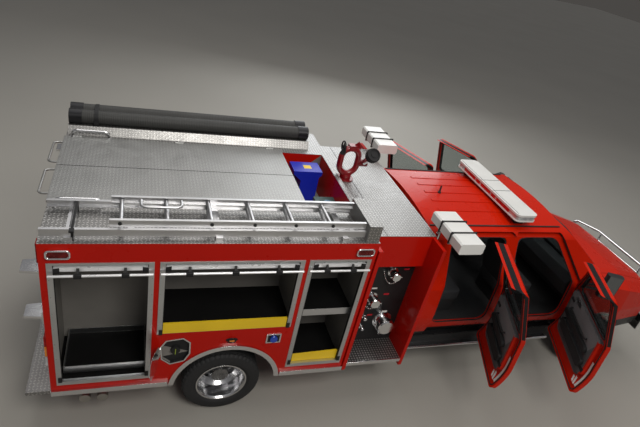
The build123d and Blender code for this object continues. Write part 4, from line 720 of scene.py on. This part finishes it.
hook = ((0, 0), (0.008, 0), (0.008, 0.012), (0, 0.013))
chains, tags_red, tags_white, hooks = [], [], [], []
for sign in (-1, 1):
    # places ahead of the rear axle and heights of the ports whose caps have a chain
    for x, z in ((1.589, 1.255), (1.744, 1.610), (1.812, 0.905)):
        cap_end = (x + 0.03, sign * (panel_face + 0.09), z - 0.055)
        wall_end = (x - 0.11, sign * (panel_face + 0.006), z + 0.01)
        chains += chain(cap_end, 0.09, wall_end)
        hooks.append(spin(hook, (x - 0.11, sign * panel_face, z + 0.012), (0, sign, 0), 12))
        tags_white.append(panel_tag(sign, (x - 0.03, x + 0.035), (z + 0.115, z + 0.135)))
    for x, z in ((1.905, 1.640), (1.760, 1.290), (1.640, 0.985)):
        tags_red.append(panel_tag(sign, (x - 0.032, x + 0.032), (z - 0.011, z + 0.011)))
piece("port_chains", chrome, *chains, smooth=60)
piece("chain_hooks", chrome, *hooks)
piece("port_tags_white", tag_white, *tags_white)
piece("port_tags_red", tag_red, *tags_red)
gauge_rims, gauge_faces, gauge_ticks, gauge_hands = [], [], [], []
leftwards = (0, 1, 0)
# columns: place ahead of the rear axle, height, radius
gauge_rows = (
    (1.440, 1.560, 0.058), (1.590, 1.560, 0.058), (1.430, 1.410, 0.040), (1.530, 1.410, 0.040),
    (1.430, 1.120, 0.040),
)
for x, z, radius in gauge_rows:
    centre, face = np.array((x, panel_face, z)), radius - 0.009
    rim = ((0, 0), (radius, 0), (radius, 0.016), (radius - 0.006, 0.020), (face, 0.012), (0, 0.011))
    gauge_rims.append(spin(rim, centre, leftwards, 36))
    card = ((0, 0.0115), (face, 0.0115), (face, 0.0105), (0, 0.0105))
    gauge_faces.append(spin(card, centre, leftwards, 36))
    for angle in np.radians(np.arange(-120, 121, 24)):
        ray = np.array((np.sin(angle), 0, np.cos(angle)))
        middle = centre + ray * radius * 0.66 + (0, 0.0122, 0)
        gauge_ticks.append(tube((middle - ray * 0.004, middle + ray * 0.004), 0.0009, leftwards, 5))
    hand = (centre + (0, 0.013, 0), centre + (-radius * 0.42, 0.013, -radius * 0.38))
    gauge_hands.append(tube(hand, 0.0012, leftwards, 5))
piece("gauge_rims", chrome, *gauge_rims)
piece("gauge_faces", tag_white, *gauge_faces)
piece("gauge_ticks", panel_black, *gauge_ticks, *gauge_hands)

# Cab.
# A welded red shell with four doors standing open, dark inside, with tinted glass. Black rubber
# seals run round the openings and the windows; below the sill the shell is black.
cabin_black = finish("cabin_black", (0.016, 0.016, 0.017), rough=0.7, grain=0.003, depth=0.0003)
cabin_grey = finish("cabin_grey", (0.060, 0.062, 0.066), rough=0.7, grain=0.002, depth=0.0002)
trim_grey = finish("trim_grey", (0.050, 0.052, 0.056), rough=0.55, grain=0.0015, depth=0.0002)
cab_red, near_black = (0.50, 0.012, 0.001), (0.012, 0.012, 0.013)


def below_sill(tree):
    """The dark foot of the cab."""
    return maths(tree, "LESS_THAN", own_axes(tree)[2], 0.745)


cab_paint = paint("cab_paint", cab_red, over=((below_sill, near_black), ))
cab_foot, waist, belt, shoulder, drip = 0.600, 1.000, 1.400, 1.960, 2.050
foot_half, cab_half, belt_half, shoulder_half, roof_edge = 0.905, 1.015, 0.992, 0.795, 0.650
cab_back, header, cab_front = 2.150, 4.040, 4.800


def cab_side(height):
    """Half width of the cab's side at a height: an arc below the waist, straight runs above it."""
    height = np.asarray(height, float)
    tuck = (cab_half - foot_half) * (np.clip(waist - height, 0, None) / (waist - cab_foot)) ** 2
    upper = np.interp(height, (waist, belt, shoulder, drip), (cab_half, belt_half, shoulder_half, roof_edge))
    return np.where(height < waist, cab_half - tuck, upper)


def glass(name, colour, rough=0.02):
    """Tinted glass: light goes through it and takes its colour."""
    material, tree, shader = new_finish(name)
    smudge = spread(tree, noise(tree, 0.2), rough, rough + 0.03)
    feed(tree, shader, {
        "Base Color": (*colour, 1), "Transmission Weight": 1.0, "IOR": 1.45, "Roughness": smudge,
    })
    return material


def cab_lining(x, y, z, out):
    """Faces of the shell that look into the cab."""
    inward = (out[1] * np.sign(y) < -0.2) & (abs(y) > 0.55) & (cab_side(z) - abs(y) > 0.070)
    under = (out[2] < -0.5) & (z > 1.90)
    back = (x < cab_back + 0.100) & (out[0] > 0.5)
    return inward | under | back | (x > header - 0.15) & (out[0] < -0.35) & (abs(y) < 0.9)


window_glass = glass("window_glass", (0.42, 0.47, 0.46))
dress("cab_shell", cab_paint, (cabin_grey, cab_lining))
dress("cab_glass", window_glass)
dress("cab_floor", cabin_black)
dress("dashboard", trim_grey, (cabin_black, lambda x, y, z, out: x < 4.34))
dress("cab_steps", bright_trim, (cabin_black, lambda x, y, z, out: (z > 0.456) & (abs(y) < 0.885)))


def on_side(outline, radius, sign, depth):
    """A rounded outline of (x, height) laid on the cab's side at a depth under the skin."""
    flat = curve(outline, radius, 7, closed=True)
    spots = []
    for begin, end in zip(flat, np.roll(flat, -1, 0)):
        count = max(int(np.hypot(*(end - begin)) / 0.06), 1)
        spots.append(begin + (end - begin) * (np.arange(count) / count)[:, None])
    ahead, height = np.vstack(spots).T
    return np.stack((ahead, sign * (cab_side(height) - depth), height), -1)


opening_front = ((3.365, 0.850), (4.340, 0.850), (4.340, 1.410), (3.930, 1.950), (3.365, 1.950))
opening_rear = ((2.455, 0.850), (3.200, 0.850), (3.200, 1.950), (2.455, 1.950))
opening_seals = [
    tube(on_side(outline, 0.110, sign, 0.066), 0.009, (0, sign, 0), 8, closed=True)
    for sign in (-1, 1) for outline in (opening_front, opening_rear)
]
piece("opening_seals", gasket_black, *opening_seals, smooth=60)
screen_low, screen_high = np.array((cab_front, belt + 0.080)), np.array((header, drip + 0.024))
screen_rise = (screen_high - screen_low) / np.linalg.norm(screen_high - screen_low)
screen_out = np.array((screen_rise[1], -screen_rise[0]))
foot_x, foot_z = screen_low + screen_rise * 0.060 + screen_out * 0.004
head_x, head_z = screen_high - screen_rise * 0.070 + screen_out * 0.004
foot_wide, head_wide = 0.860, 0.640
screen_outline = ((foot_x, -foot_wide, foot_z), (foot_x, foot_wide, foot_z),
                  (head_x, head_wide, head_z), (head_x, -head_wide, head_z))
screen_normal = (screen_out[0], 0, screen_out[1])
screen_seal = tube(curve(screen_outline, 0.07, closed=True), 0.016, screen_normal, 8, closed=True)
piece("screen_seal", gasket_black, screen_seal, smooth=60)
roof_strips = [
    slab((cab_back + 0.02, sign * (roof_edge - 0.010), drip - 0.001),
         (header - 0.05, sign * (roof_edge + 0.012), drip + 0.010))
    for sign in (-1, 1)
]
piece("roof_strips", gasket_black, *roof_strips, bevel=0.003)
seat_grey = finish("seat_grey", (0.028, 0.029, 0.032), rough=0.85, grain=0.0012, depth=0.0004, edge=0)


def cushion(low, high, lean=0.0, power=0.22):
    """A stuffed block: x = c|cos|^p, and so on, a rounded box whose top leans back by lean."""
    low, high = np.array(low, float), np.array(high, float)
    rise = np.linspace(-np.pi / 2, np.pi / 2, 25)[:, None]
    turn = turns(48)[None, :]

    def bent(value):
        return np.sign(value) * np.abs(value) ** power

    flat = bent(np.cos(rise))
    unit = np.stack((flat * bent(np.cos(turn)), flat * bent(np.sin(turn)), bent(np.sin(rise)) + 0 * turn), -1)
    points = (low + high) / 2 + unit * (high - low) / 2
    points[..., 0] -= lean * (points[..., 2] - low[2]) / (high[2] - low[2])
    return grid(points)


front_seat, rear_seat, floor_top = 3.480, 2.330, 0.850
seat_parts, bases = [], []
for middle in (-0.470, 0.470):
    right, left = middle - 0.248, middle + 0.248
    seat_parts += (
        cushion((front_seat + 0.01, right, 1.02), (front_seat + 0.518, left, 1.19)),
        cushion((front_seat + 0.02, right, 1.14), (front_seat + 0.15, left, 1.60), 0.09),
        cushion((front_seat - 0.08, middle - 0.13, 1.57), (front_seat + 0.02, middle + 0.13, 1.765), 0.02),
    )
    bases.append(slab((front_seat + 0.03, middle - 0.22, floor_top),
                      (front_seat + 0.49, middle + 0.22, 1.06)))
for middle in (-0.505, 0, 0.505):
    right, left = middle - 0.252, middle + 0.252
    seat_parts += (
        cushion((rear_seat + 0.03, right, 1.02), (rear_seat + 0.558, left, 1.165)),
        cushion((rear_seat + 0.07, right, 1.12), (rear_seat + 0.175, left, 1.70), 0.06),
    )
cushions = piece("seat_cushions", seat_grey, *seat_parts, smooth=60)
bases.append(slab((rear_seat + 0.005, -0.755, floor_top), (rear_seat + 0.50, 0.755, 1.05)))
bases.append(slab((rear_seat + 0.001, -0.74, floor_top), (rear_seat + 0.06, 0.74, 1.62)))
seat_bases = piece("seat_bases", cabin_black, *bases, bevel=0.01)
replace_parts(cushions, "seats")
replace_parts(seat_bases, "seats")

# Doors.
# Each hangs on its front edge and stands open. The trim is moulded grey plastic with lighter pads,
# a black pull and map pocket, and the shell is red round it; the front doors carry the mirrors.
mirror_glass = finish(
    "mirror_glass", (0.20, 0.21, 0.22), metal=1.0, rough=0.04, mottle=0.01, wipe=0.01, edge=0
)
reflector_white = finish("reflector_white", (0.72, 0.72, 0.70), rough=0.35, edge=0)
frame_edge, seal_radius = (0.004, 0.040), 0.008
# lean inwards and lowest point, as half width and height, of the two planes over the belt
frame_planes = (
    ((belt_half - shoulder_half) / (shoulder - belt), belt_half, belt),
    ((shoulder_half - roof_edge) / (drip - shoulder), shoulder_half, shoulder),
)


def turned(x, y, centre, angle):
    """X and Y turned by an angle about an upright line."""
    x, y, cosine, sine = x - centre[0], y - centre[1], np.cos(angle), np.sin(angle)
    return x * cosine - y * sine + centre[0], x * sine + y * cosine + centre[1]


def shut_axes(tree, hinge, angle):
    """The X and Y that a point of an open door has when the door is shut."""
    do = partial(maths, tree)
    x, y, _ = own_axes(tree)
    x, y = do("SUBTRACT", x, rear_axle + hinge[0]), do("SUBTRACT", y, hinge[1])
    cosine, sine = np.cos(angle), np.sin(angle)
    ahead = do("MULTIPLY_ADD", x, cosine, do("MULTIPLY_ADD", y, sine, hinge[0]))
    return ahead, do("MULTIPLY_ADD", y, cosine, do("MULTIPLY_ADD", x, -sine, hinge[1]))


def dark_frame(hinge, angle, sign):
    """Mask of the rubber round a door's window frame: above the belt, between two depths."""
    def mask(tree):
        do = partial(maths, tree)
        height = own_axes(tree)[2]
        half = do("MULTIPLY", shut_axes(tree, hinge, angle)[1], sign)
        depths = []
        for lean, start, foot in frame_planes:
            skin = do("MULTIPLY_ADD", height, -lean, start + lean * foot)
            depths.append(do("MULTIPLY", do("SUBTRACT", skin, half), (1 + lean ** 2) ** -0.5))
        depth = do("MINIMUM", *depths)
        past, short = do("GREATER_THAN", depth, frame_edge[0]), do("LESS_THAN", depth, frame_edge[1])
        return do("MULTIPLY", do("GREATER_THAN", height, belt + 0.03), do("MULTIPLY", past, short))

    return mask


def red_border(hinge, angle, back, front):
    """Mask of a door's trim outside a rounded rectangle: the bare red shell round the moulding."""
    low, high, corner = 0.790, 1.46, 0.13

    def mask(tree):
        do = partial(maths, tree)
        height = own_axes(tree)[2]
        squares = []
        for value, start, end in ((shut_axes(tree, hinge, angle)[0], back, front), (height, low, high)):
            gap = do("ABSOLUTE", do("SUBTRACT", value, (start + end) / 2))
            past = do("MAXIMUM", do("SUBTRACT", gap, (end - start) / 2 - corner), 0.0)
            squares.append(do("POWER", past, 2.0))
        outside = do("GREATER_THAN", do("ADD", *squares), corner ** 2)
        return do("MULTIPLY", outside, do("LESS_THAN", height, belt - 0.02))

    return mask


def strip(path, half_width, thickness, towards):
    """A thin band of constant width along X that follows a path of points."""
    path = np.array(path, float)
    wide = np.array((half_width, 0, 0))
    thick = np.array(towards, float) * thickness
    rings = np.stack((path - wide, path + wide, path + wide + thick, path - wide + thick), 1)
    ends = [np.repeat(rings[end].mean(0)[None, None], 4, 1) for end in (0, -1)]
    return grid(np.concatenate((ends[0], rings, ends[1])))


def handle(x_ends, foot, grip, height, bend, radius):
    """A level bar whose two ends bend from the grip's y to the foot's."""
    start, end = x_ends
    path = ((start, foot, height), (start, grip, height), (end, grip, height), (end, foot, height))
    return tube(curve(path, bend), radius, (0, 0, 1))


def is_pad(depth, z, ahead, outward):
    """The upper pad, of the faces that look inwards."""
    return (depth > 0.088) & (z > 1.20) & (outward < -0.3)


def is_dark(depth, z, ahead, outward):
    """The map pocket and the arm rest."""
    return ((z > 0.915) & (z < 1.045) | (z > 1.10) & (z < 1.178)) & (depth > 0.0905)


def is_mirror(depth, z, ahead, outward):
    """All that stands outside the skin."""
    return depth < -0.002


def is_mirror_face(depth, z, ahead, outward):
    """The mirror's glass, which looks back."""
    return is_mirror(depth, z, ahead, outward) & (ahead < -0.9)


# outlines as (distance ahead of the rear axle, height)
gap_front = ((3.293, 0.648), (4.427, 0.648), (4.427, 1.425), (3.965, 2.018), (3.293, 2.018))
gap_rear = ((2.388, 0.648), (3.297, 0.648), (3.297, 2.018), (2.388, 2.018))
window_front = ((3.370, 1.440), (4.300, 1.440), (3.935, 1.950), (3.370, 1.950))
window_rear = ((2.465, 1.440), (3.225, 1.440), (3.225, 1.950), (2.465, 1.950))
# columns: door, outline of its gap and of its window, back and front end of the thick trim
door_rows = (("front", gap_front, window_front, 3.387, 4.318), ("rear", gap_rear, window_rear, 2.477, 3.178))
for place, outline, window, back, front in door_rows:
    for side, sign in (("left", 1), ("right", -1)):
        name, body = f"{place}_{side}", f"{place}_door_{side}"
        joint = joints[f"{body}_hinge"]
        hinge = np.array(joint["pos_m"][:2]) - (rear_axle, 0)
        angle = np.radians(joint["range_deg"][0]) * -joint["axis"][2]
        outwards = (0, sign, 0)

        def when_shut(rule):
            """A rule on depth, height and direction that sees the door as if it were shut."""
            def seen(x, y, z, out):
                shut_y = turned(x, y, hinge, -angle)[1]
                ahead, left = turned(out[0], out[1], (0, 0), -angle)
                return rule(cab_side(z) - sign * shut_y, z, ahead, sign * left)

            return seen

        def opened(part):
            """A part drawn on the shut door, where the open door carries it."""
            x, y, z = part[0].T
            return np.column_stack((*turned(x, y, hinge, angle), z)), part[1]

        border = ((red_border(hinge, angle, back + 0.03, front + 0.05), cab_red), )
        rubber = ((dark_frame(hinge, angle, sign), near_black), )
        door_paint = paint(f"door_paint_{name}", cab_red, over=rubber)
        door_trim = finish(
            f"door_trim_{name}", (0.105, 0.107, 0.112), rough=0.55, gloss=0.25, grain=0.0015, mottle=0.08,
            over=border
        )
        pad_grey = finish(
            f"door_pads_{name}", (0.20, 0.203, 0.21), rough=0.6, gloss=0.25, grain=0.0015, over=border
        )
        dress(f"door_{name}", door_paint)
        dress(
            f"trim_{name}", door_trim,
            (pad_grey, when_shut(is_pad)), (cabin_black, when_shut(is_dark)),
            (cabin_black, when_shut(is_mirror)), (mirror_glass, when_shut(is_mirror_face)),
        )
        dress(f"pane_{name}", window_glass)
        seals = [
            opened(tube(on_side(window, 0.050, sign, depth), seal_radius, outwards, 8, closed=True))
            for depth in (0.004, 0.044)
        ]
        piece(f"window_seals_{name}", gasket_black, *seals, body=body, smooth=60)
        inset = 0.035
        rim = [
            (x + (inset if x < back + 0.2 else -inset), z + (inset if z < 1 else -inset)) for x, z in outline
        ]
        door_seal = opened(tube(on_side(rim, 0.050, sign, 0.046), 0.007, outwards, 8, closed=True))
        piece(f"door_seal_{name}", gasket_black, door_seal, body=body, smooth=60)
        gap_back, pull_height = outline[0][0], 1.30
        foot, grip = (sign * (cab_side(pull_height) + off_skin) for off_skin in (-0.004, 0.022))
        pull = handle((gap_back + 0.110, gap_back + 0.250), foot, grip, pull_height, 0.015, 0.009)
        piece(f"door_pull_{name}", cabin_black, opened(pull), body=body, smooth=60)
        inner_y = sign * (cab_side(1.25) - 0.094)
        grab = handle((back + 0.22, front - 0.16), inner_y, inner_y - sign * 0.03, 1.235, 0.02, 0.011)
        lever = slab((front - 0.12, inner_y + sign * 0.004, 1.29),
                     (front - 0.04, inner_y - sign * 0.012, 1.32))
        piece(f"inner_pull_{name}", cabin_black, opened(grab), opened(lever), body=body, bevel=0.002)
        if place == "front":
            plate_y = sign * (cab_side(1.33) - 0.096)
            plate_face = plate_y - sign * 0.004
            switch_plate = slab((front - 0.30, plate_y, 1.345), (front - 0.14, plate_face, 1.400))
            knob_shape = ((0, 0), (0.016, 0), (0.014, 0.012), (0, 0.013))
            knob = spin(knob_shape, (front - 0.21, plate_face, 1.372), (0, -sign, 0), 16)
            piece(f"switch_plate_{side}", satin_aluminium, opened(switch_plate), body=body)
            piece(f"switch_knob_{side}", cabin_black, opened(knob), body=body)
        marks = []
        for ahead, low, high in ((0.062, 0.745, 1.130), (0.105, 0.735, 0.815), (0.147, 0.735, 0.790)):
            heights = np.linspace(low, high, 9)
            lean = np.where(ahead > 0.1, 0.035 * (heights - low) / (high - low), 0)
            inside = sign * (cab_side(heights) - 0.0525)
            band = np.column_stack((gap_back + ahead + lean, inside, heights))
            marks.append(opened(strip(band, 0.016, 0.0015, (0, -sign, 0))))
        piece(f"door_reflector_{name}", reflector_white, *marks, body=body)

# Front end.
# Red hood and wings with a black scuttle at the windscreen, a chrome grille with dark openings,
# and a chromed bumper with its tube guard.
grille_dark = finish("grille_dark", (0.008, 0.008, 0.008), rough=0.8, edge=0)
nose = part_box("grille")[1].x - rear_axle
dress("hood", cab_paint, (cabin_black, lambda x, y, z, out: out[2] < -0.35))
dress("fenders", cab_paint, (cabin_black, lambda x, y, z, out: (x < 4.862) & (z > 1.35)))
dress("front_bumper", chrome)
dress("grille", chrome, (grille_dark, lambda x, y, z, out: x < nose - 0.0595))
wiper_arms = []
for sign in (-1, 1):
    arm = ((cab_front + 0.012, sign * 0.12, 1.486), (cab_front - 0.07, sign * 0.16, 1.575),
           (cab_front - 0.10, sign * 0.62, 1.600))
    wiper_arms.append(tube(curve(arm, 0.05), 0.009, (0, 0, 1), 8))
piece("wiper_arms", cabin_black, *wiper_arms)

# Light bar and lamps.
# The bar has red and silver lens cells between a pale tray and top. The side lamps are red lenses
# in chrome bezels, amber ones over the wheels; the tail cluster is red, amber and white, and the
# head lamps beside the grille are clear.
lens_red = finish(
    "lens_red", (0.28, 0.003, 0.003), rough=0.2, coat=0.2, gloss=0.15, mottle=0.4, patch=0.03, edge=0.001
)
lens_clear = finish(
    "lens_clear", (0.62, 0.63, 0.65), metal=0.5, rough=0.2, coat=1.0, mottle=0.3, patch=0.05, edge=0.001
)
lens_amber = finish("lens_amber", (0.80, 0.24, 0.01), rough=0.15, coat=1.0, mottle=0.1, edge=0.001)
bar_white = finish("bar_white", (0.70, 0.70, 0.68), rough=0.35, coat=0.3, mottle=0.05)
bar_red = finish(
    "bar_red", (0.60, 0.012, 0.012), rough=0.2, coat=0.2, gloss=0.2, mottle=0.3, patch=0.03, edge=0.001
)
bar_x, bar_top = 3.400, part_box("light_bar")[1].z
bar_low = bar_top - 0.090


def cells(x, y, z, out):
    """Faces of the light bar's lens band."""
    return (z > bar_low + 0.0165) & (z < bar_low + 0.0655)


def red_cells(x, y, z, out):
    """The lens cells up to 0.52 m from the middle, which leaves the bar's ends clear."""
    return cells(x, y, z, out) & (abs(y) < 0.520)


dress(
    "light_bar", bar_white, (lens_clear, cells), (bar_red, red_cells),
    (cabin_black, lambda x, y, z, out: z < bar_low - 0.0005)
)
bar_seams = [
    slab((bar_x - 0.138, y - 0.004, bar_top - 0.001), (bar_x + 0.138, y + 0.004, bar_top + 0.001))
    for y in (-0.13, 0.13)
]
bar_seams.append(slab((bar_x - 0.118, -0.66, bar_top - 0.001), (bar_x - 0.112, 0.66, bar_top + 0.0008)))
piece("light_bar_seams", cabin_black, *bar_seams)
cell_dividers = [
    slab((bar_x + edge * 0.1372, y - 0.012, bar_low + 0.018),
         (bar_x + edge * 0.1385, y + 0.012, bar_low + 0.064))
    for edge in (-1, 1) for y in (-0.235, -0.120, 0.120, 0.235)
]
piece("light_bar_dividers", lens_clear, *cell_dividers)
arch_lamp_x, arch_lamp_z = 0.030, 1.062


def bezel(x, y, z, out):
    """Rims of the lamps on the body's sides."""
    off_x = np.minimum(*(abs(x - place) for place in lamp_places))
    large = (off_x > 0.0737) | (abs(z - lamp_height) > 0.0262)
    return (abs(y) > body_half + 0.0002) & (z > 1.5) & large


def ring(x, y, z, out):
    """Black rings of the small lamps over the wheels."""
    off_lens = (abs(x - arch_lamp_x) > 0.0262) | (abs(z - arch_lamp_z) > 0.0082)
    return off_lens & (z < 1.2) & (x > -0.5) & (abs(y) > body_half)


def amber(x, y, z, out):
    """Small lamps over the wheels, and the middle lamp of each tail cluster."""
    small = (abs(x - arch_lamp_x) < 0.045) & (z < 1.2) & (abs(y) > body_half)
    return small | (x < -1.4) & (z > 0.985) & (z < 1.10)


def tail_white(x, y, z, out):
    """The lowest lamp of each tail cluster."""
    return (x < -1.4) & (z < 0.980) & (abs(y) < body_half)


def head_lamps(x, y, z, out):
    """Lamps beside the grille."""
    return x > 4.0


oval = turns(40)[None, :]
oval_rows = np.array((0.0, 0.94, 1.0, 1.0, 0.0))[:, None]
oval_out = np.array((0.0060, 0.0060, 0.0045, -0.0010, -0.0010))[:, None]
dome = ((0, 0.0215), (0.012, 0.0205), (0.020, 0.016), (0.023, 0.004), (0, 0.002))
arch_lamps, arch_lenses, side_lenses = [], [], []
lens_dark = finish(
    "lens_dark", (0.10, 0.002, 0.002), rough=0.25, coat=0.2, gloss=0.2, mottle=0.5, patch=0.04, edge=0
)
for sign in (-1, 1):
    arch_lamps.append(grid(np.stack((
        arch_lamp_x + 0.058 * oval_rows * np.cos(oval),
        sign * (body_half + oval_out + 0 * oval),
        arch_lamp_z + 0.024 * oval_rows * np.sin(oval),
    ), -1)))
    arch_lenses.append(spin(dome, (arch_lamp_x + 0.008, sign * body_half, arch_lamp_z), (0, sign, 0), 24))
    for x in lamp_places:
        side_lenses.append(slab((x - 0.070, sign * (body_half + 0.0200), lamp_height - 0.024),
                                (x + 0.070, sign * (body_half + 0.0222), lamp_height + 0.024)))
piece("side_lamp_lenses", lens_dark, *side_lenses, bevel=0.001)
piece("arch_lamp_bases", gasket_black, *arch_lamps, smooth=60)
piece("arch_lamp_lenses", lens_amber, *arch_lenses, smooth=60)
dress(
    "lamps", lens_red, (lens_amber, amber), (lens_clear, tail_white), (chrome, bezel),
    (gasket_black, ring), (lens_clear, head_lamps)
)

# Ladder and hoses.
# An aluminium ladder in two sections lies on three carriers, its fly rail bolted; a metal bracket
# and a black strap hold it. Two strapped suction hoses of dark ribbed rubber lie in a tray opposite.
ladder_metal = finish(
    "ladder_metal", (0.62, 0.62, 0.63), metal=1.0, rough=0.36, stretch=(25, 1, 1), depth=0.00004,
    mottle=0.08, wipe=0.1
)


def hose_ribs(tree):
    """Rings along X, one every 18 mm, as a sine between 0 and 1."""
    do = partial(maths, tree)
    return do("MULTIPLY_ADD", do("SINE", do("MULTIPLY", own_axes(tree)[0], 2 * np.pi / 0.018)), 0.5, 0.5)


# Painted shade: the valleys between the hose's ribs are darkened by a fifth.
hose_slate = finish(
    "hose_slate", (0.045, 0.045, 0.043), rough=0.55, patch=0.3, mottle=0.15, relief=hose_ribs,
    hollow=0.2, rise=0.001
)
coupling_dark = finish("coupling_dark", (0.030, 0.030, 0.032), metal=0.7, rough=0.35)
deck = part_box("ladder")[0].z
ladder_near, ladder_low, rail_depth, rail_pitch = -(body_half - 0.048), deck + 0.034, 0.064, 0.068
dress("ladder", ladder_metal, (tread_plate, lambda x, y, z, out: (x > 1.149) & (x < 1.281)))
hose_back, hose_front, tray_lip = -1.420, 0.960, deck + 0.085


def tray_faces(x, y, z, out):
    """The hoses' tray: level and upright flat faces, but not the ends of the hoses."""
    level, upright = abs(out[2]) > 0.999, abs(out[1]) > 0.999
    lip = (y > body_half - 0.071) & (z < tray_lip + 0.041) & (level | upright)
    return level & (z < tray_lip + 0.0005) | (z < tray_lip - 0.002) | lip


dress(
    "suction_hoses", hose_slate, (coupling_dark, lambda x, y, z, out: (x < hose_back) | (x > hose_front)),
    (tread_plate, tray_faces),
)
hose_radius, hose_height, near_hose, far_hose = 0.074, deck + 0.156, body_half - 0.188, body_half - 0.358
band_path, band_out = [], []
for start, end, middle in ((0, 90, near_hose), (90, 180, far_hose)):
    angles = np.radians(np.linspace(start, end, 10))
    ray = np.stack((0 * angles, np.cos(angles), np.sin(angles)), -1)
    band_path.append(np.array((-1.280, middle, hose_height)) + hose_radius * ray)
    band_out.append(ray)
band_path, band_out = np.vstack(band_path), np.vstack(band_out)
band_ends = band_path[[0, -1]] - (0, 0, hose_height - tray_lip)
band_path = np.vstack((band_ends[:1], band_path, band_ends[1:]))
band_out = np.vstack((band_out[:1], band_out, band_out[-1:]))
buckle_y = far_hose - hose_radius
buckle = slab((-1.305, buckle_y - 0.012, tray_lip + 0.010), (-1.255, buckle_y, tray_lip + 0.060))
piece("hose_strap", gasket_black, strip(band_path, 0.020, 0.003, band_out), buckle, bevel=0.0005)
bolt = ((0, 0), (0.016, 0), (0.016, 0.004), (0.010, 0.006), (0.010, 0.014), (0, 0.015))
bolt_height = ladder_low + rail_pitch + rail_depth / 2
fly_bolts = [
    spin(bolt, (x, ladder_near + 0.032, bolt_height), (0, -1, 0), 12)
    for x in (-0.981, -0.268, 0.096, 0.463, 0.812)
]
piece("fly_bolts", cabin_black, *fly_bolts, smooth=25)
bracket_height = ladder_low + rail_pitch + rail_depth + 0.006
bracket = handle((-0.50, -0.826), -0.830, -0.940, bracket_height, 0.05, 0.012)
piece("ladder_bracket", ladder_metal, bracket, smooth=60)
strap_top = ladder_low + rail_depth
strap_back, strap_front, strap_upper = -1.330, -1.310, strap_top + 0.004
strap = [
    slab((strap_back, ladder_near - 0.012, strap_top), (strap_front, -0.760, strap_upper)),
    slab((strap_back, ladder_near - 0.014, deck), (strap_front, ladder_near - 0.010, strap_upper)),
    slab((strap_back, -0.764, deck), (strap_front, -0.760, strap_upper)),
    slab((-1.338, -1.215, strap_upper), (-1.302, -1.170, strap_top + 0.020)),
]
piece("ladder_strap", gasket_black, *strap, bevel=0.001)

# Monitor.
# A crimson cast loop of pipe turns on the pump's roof and carries a steel barrel with a black
# nozzle, raised by a black hand wheel.
crimson = finish("crimson", (0.21, 0.004, 0.008), rough=0.3, coat=0.6, grain=0.003, depth=0.0001)
pivot_y, pivot_z = 0.170, 2.355


def reach_of(y, z):
    """Way from the pivot along the line of fire, which rises at 45 degrees to the right."""
    return (z - pivot_z - (y - pivot_y)) / np.sqrt(2)


dress("monitor_base", crimson)
dress("monitor_swivel", crimson, (cabin_black, lambda x, y, z, out: (x < 1.332) & (z > 2.455)))
dress(
    "monitor_barrel", crimson, (bright_trim, lambda x, y, z, out: reach_of(y, z) > 0.045),
    (cabin_black, lambda x, y, z, out: reach_of(y, z) > 0.186)
)

# Roof aerial.
# A short black rubber rod on a round foot, behind the middle of the roof.
foot_and_rod = (
    (0, -0.004), (0.022, -0.004), (0.022, 0.006), (0.012, 0.014), (0.010, 0.085), (0.007, 0.092), (0, 0.094)
)
aerial = spin(foot_and_rod, (2.605, -0.018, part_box("cab_shell")[1].z - 0.001), (0, 0, 1), 20)
piece("roof_aerial", gasket_black, aerial, smooth=50)

# Light masts.
# Each head has three white flood lamps in a row, guarded by black tube; the masts are satin tube.
head_low, lens_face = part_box("light_mast_right")[1].z - 0.133, 2.335
head_y, lamp_step = 1.080, (0.590 - 0.028) / 3 + 0.014


def lens_recess(x, y, z, out):
    """Fronts of the flood lamps, sunk into their housings."""
    return (out[0] > 0.9) & (x > lens_face - 0.008) & (x < lens_face - 0.004)


def guards(x, y, z, out):
    """Tubes in the seams between the lamps."""
    return (abs(abs(abs(y) - head_y) - lamp_step / 2) < 0.0095) & (z > head_low - 0.014)


def mast_tube(x, y, z, out):
    """The tube that slides."""
    return z < head_low - 0.001


for side in ("left", "right"):
    dress(
        f"light_mast_{side}", bar_white, (cabin_black, guards), (lens_clear, lens_recess),
        (satin_aluminium, mast_tube)
    )
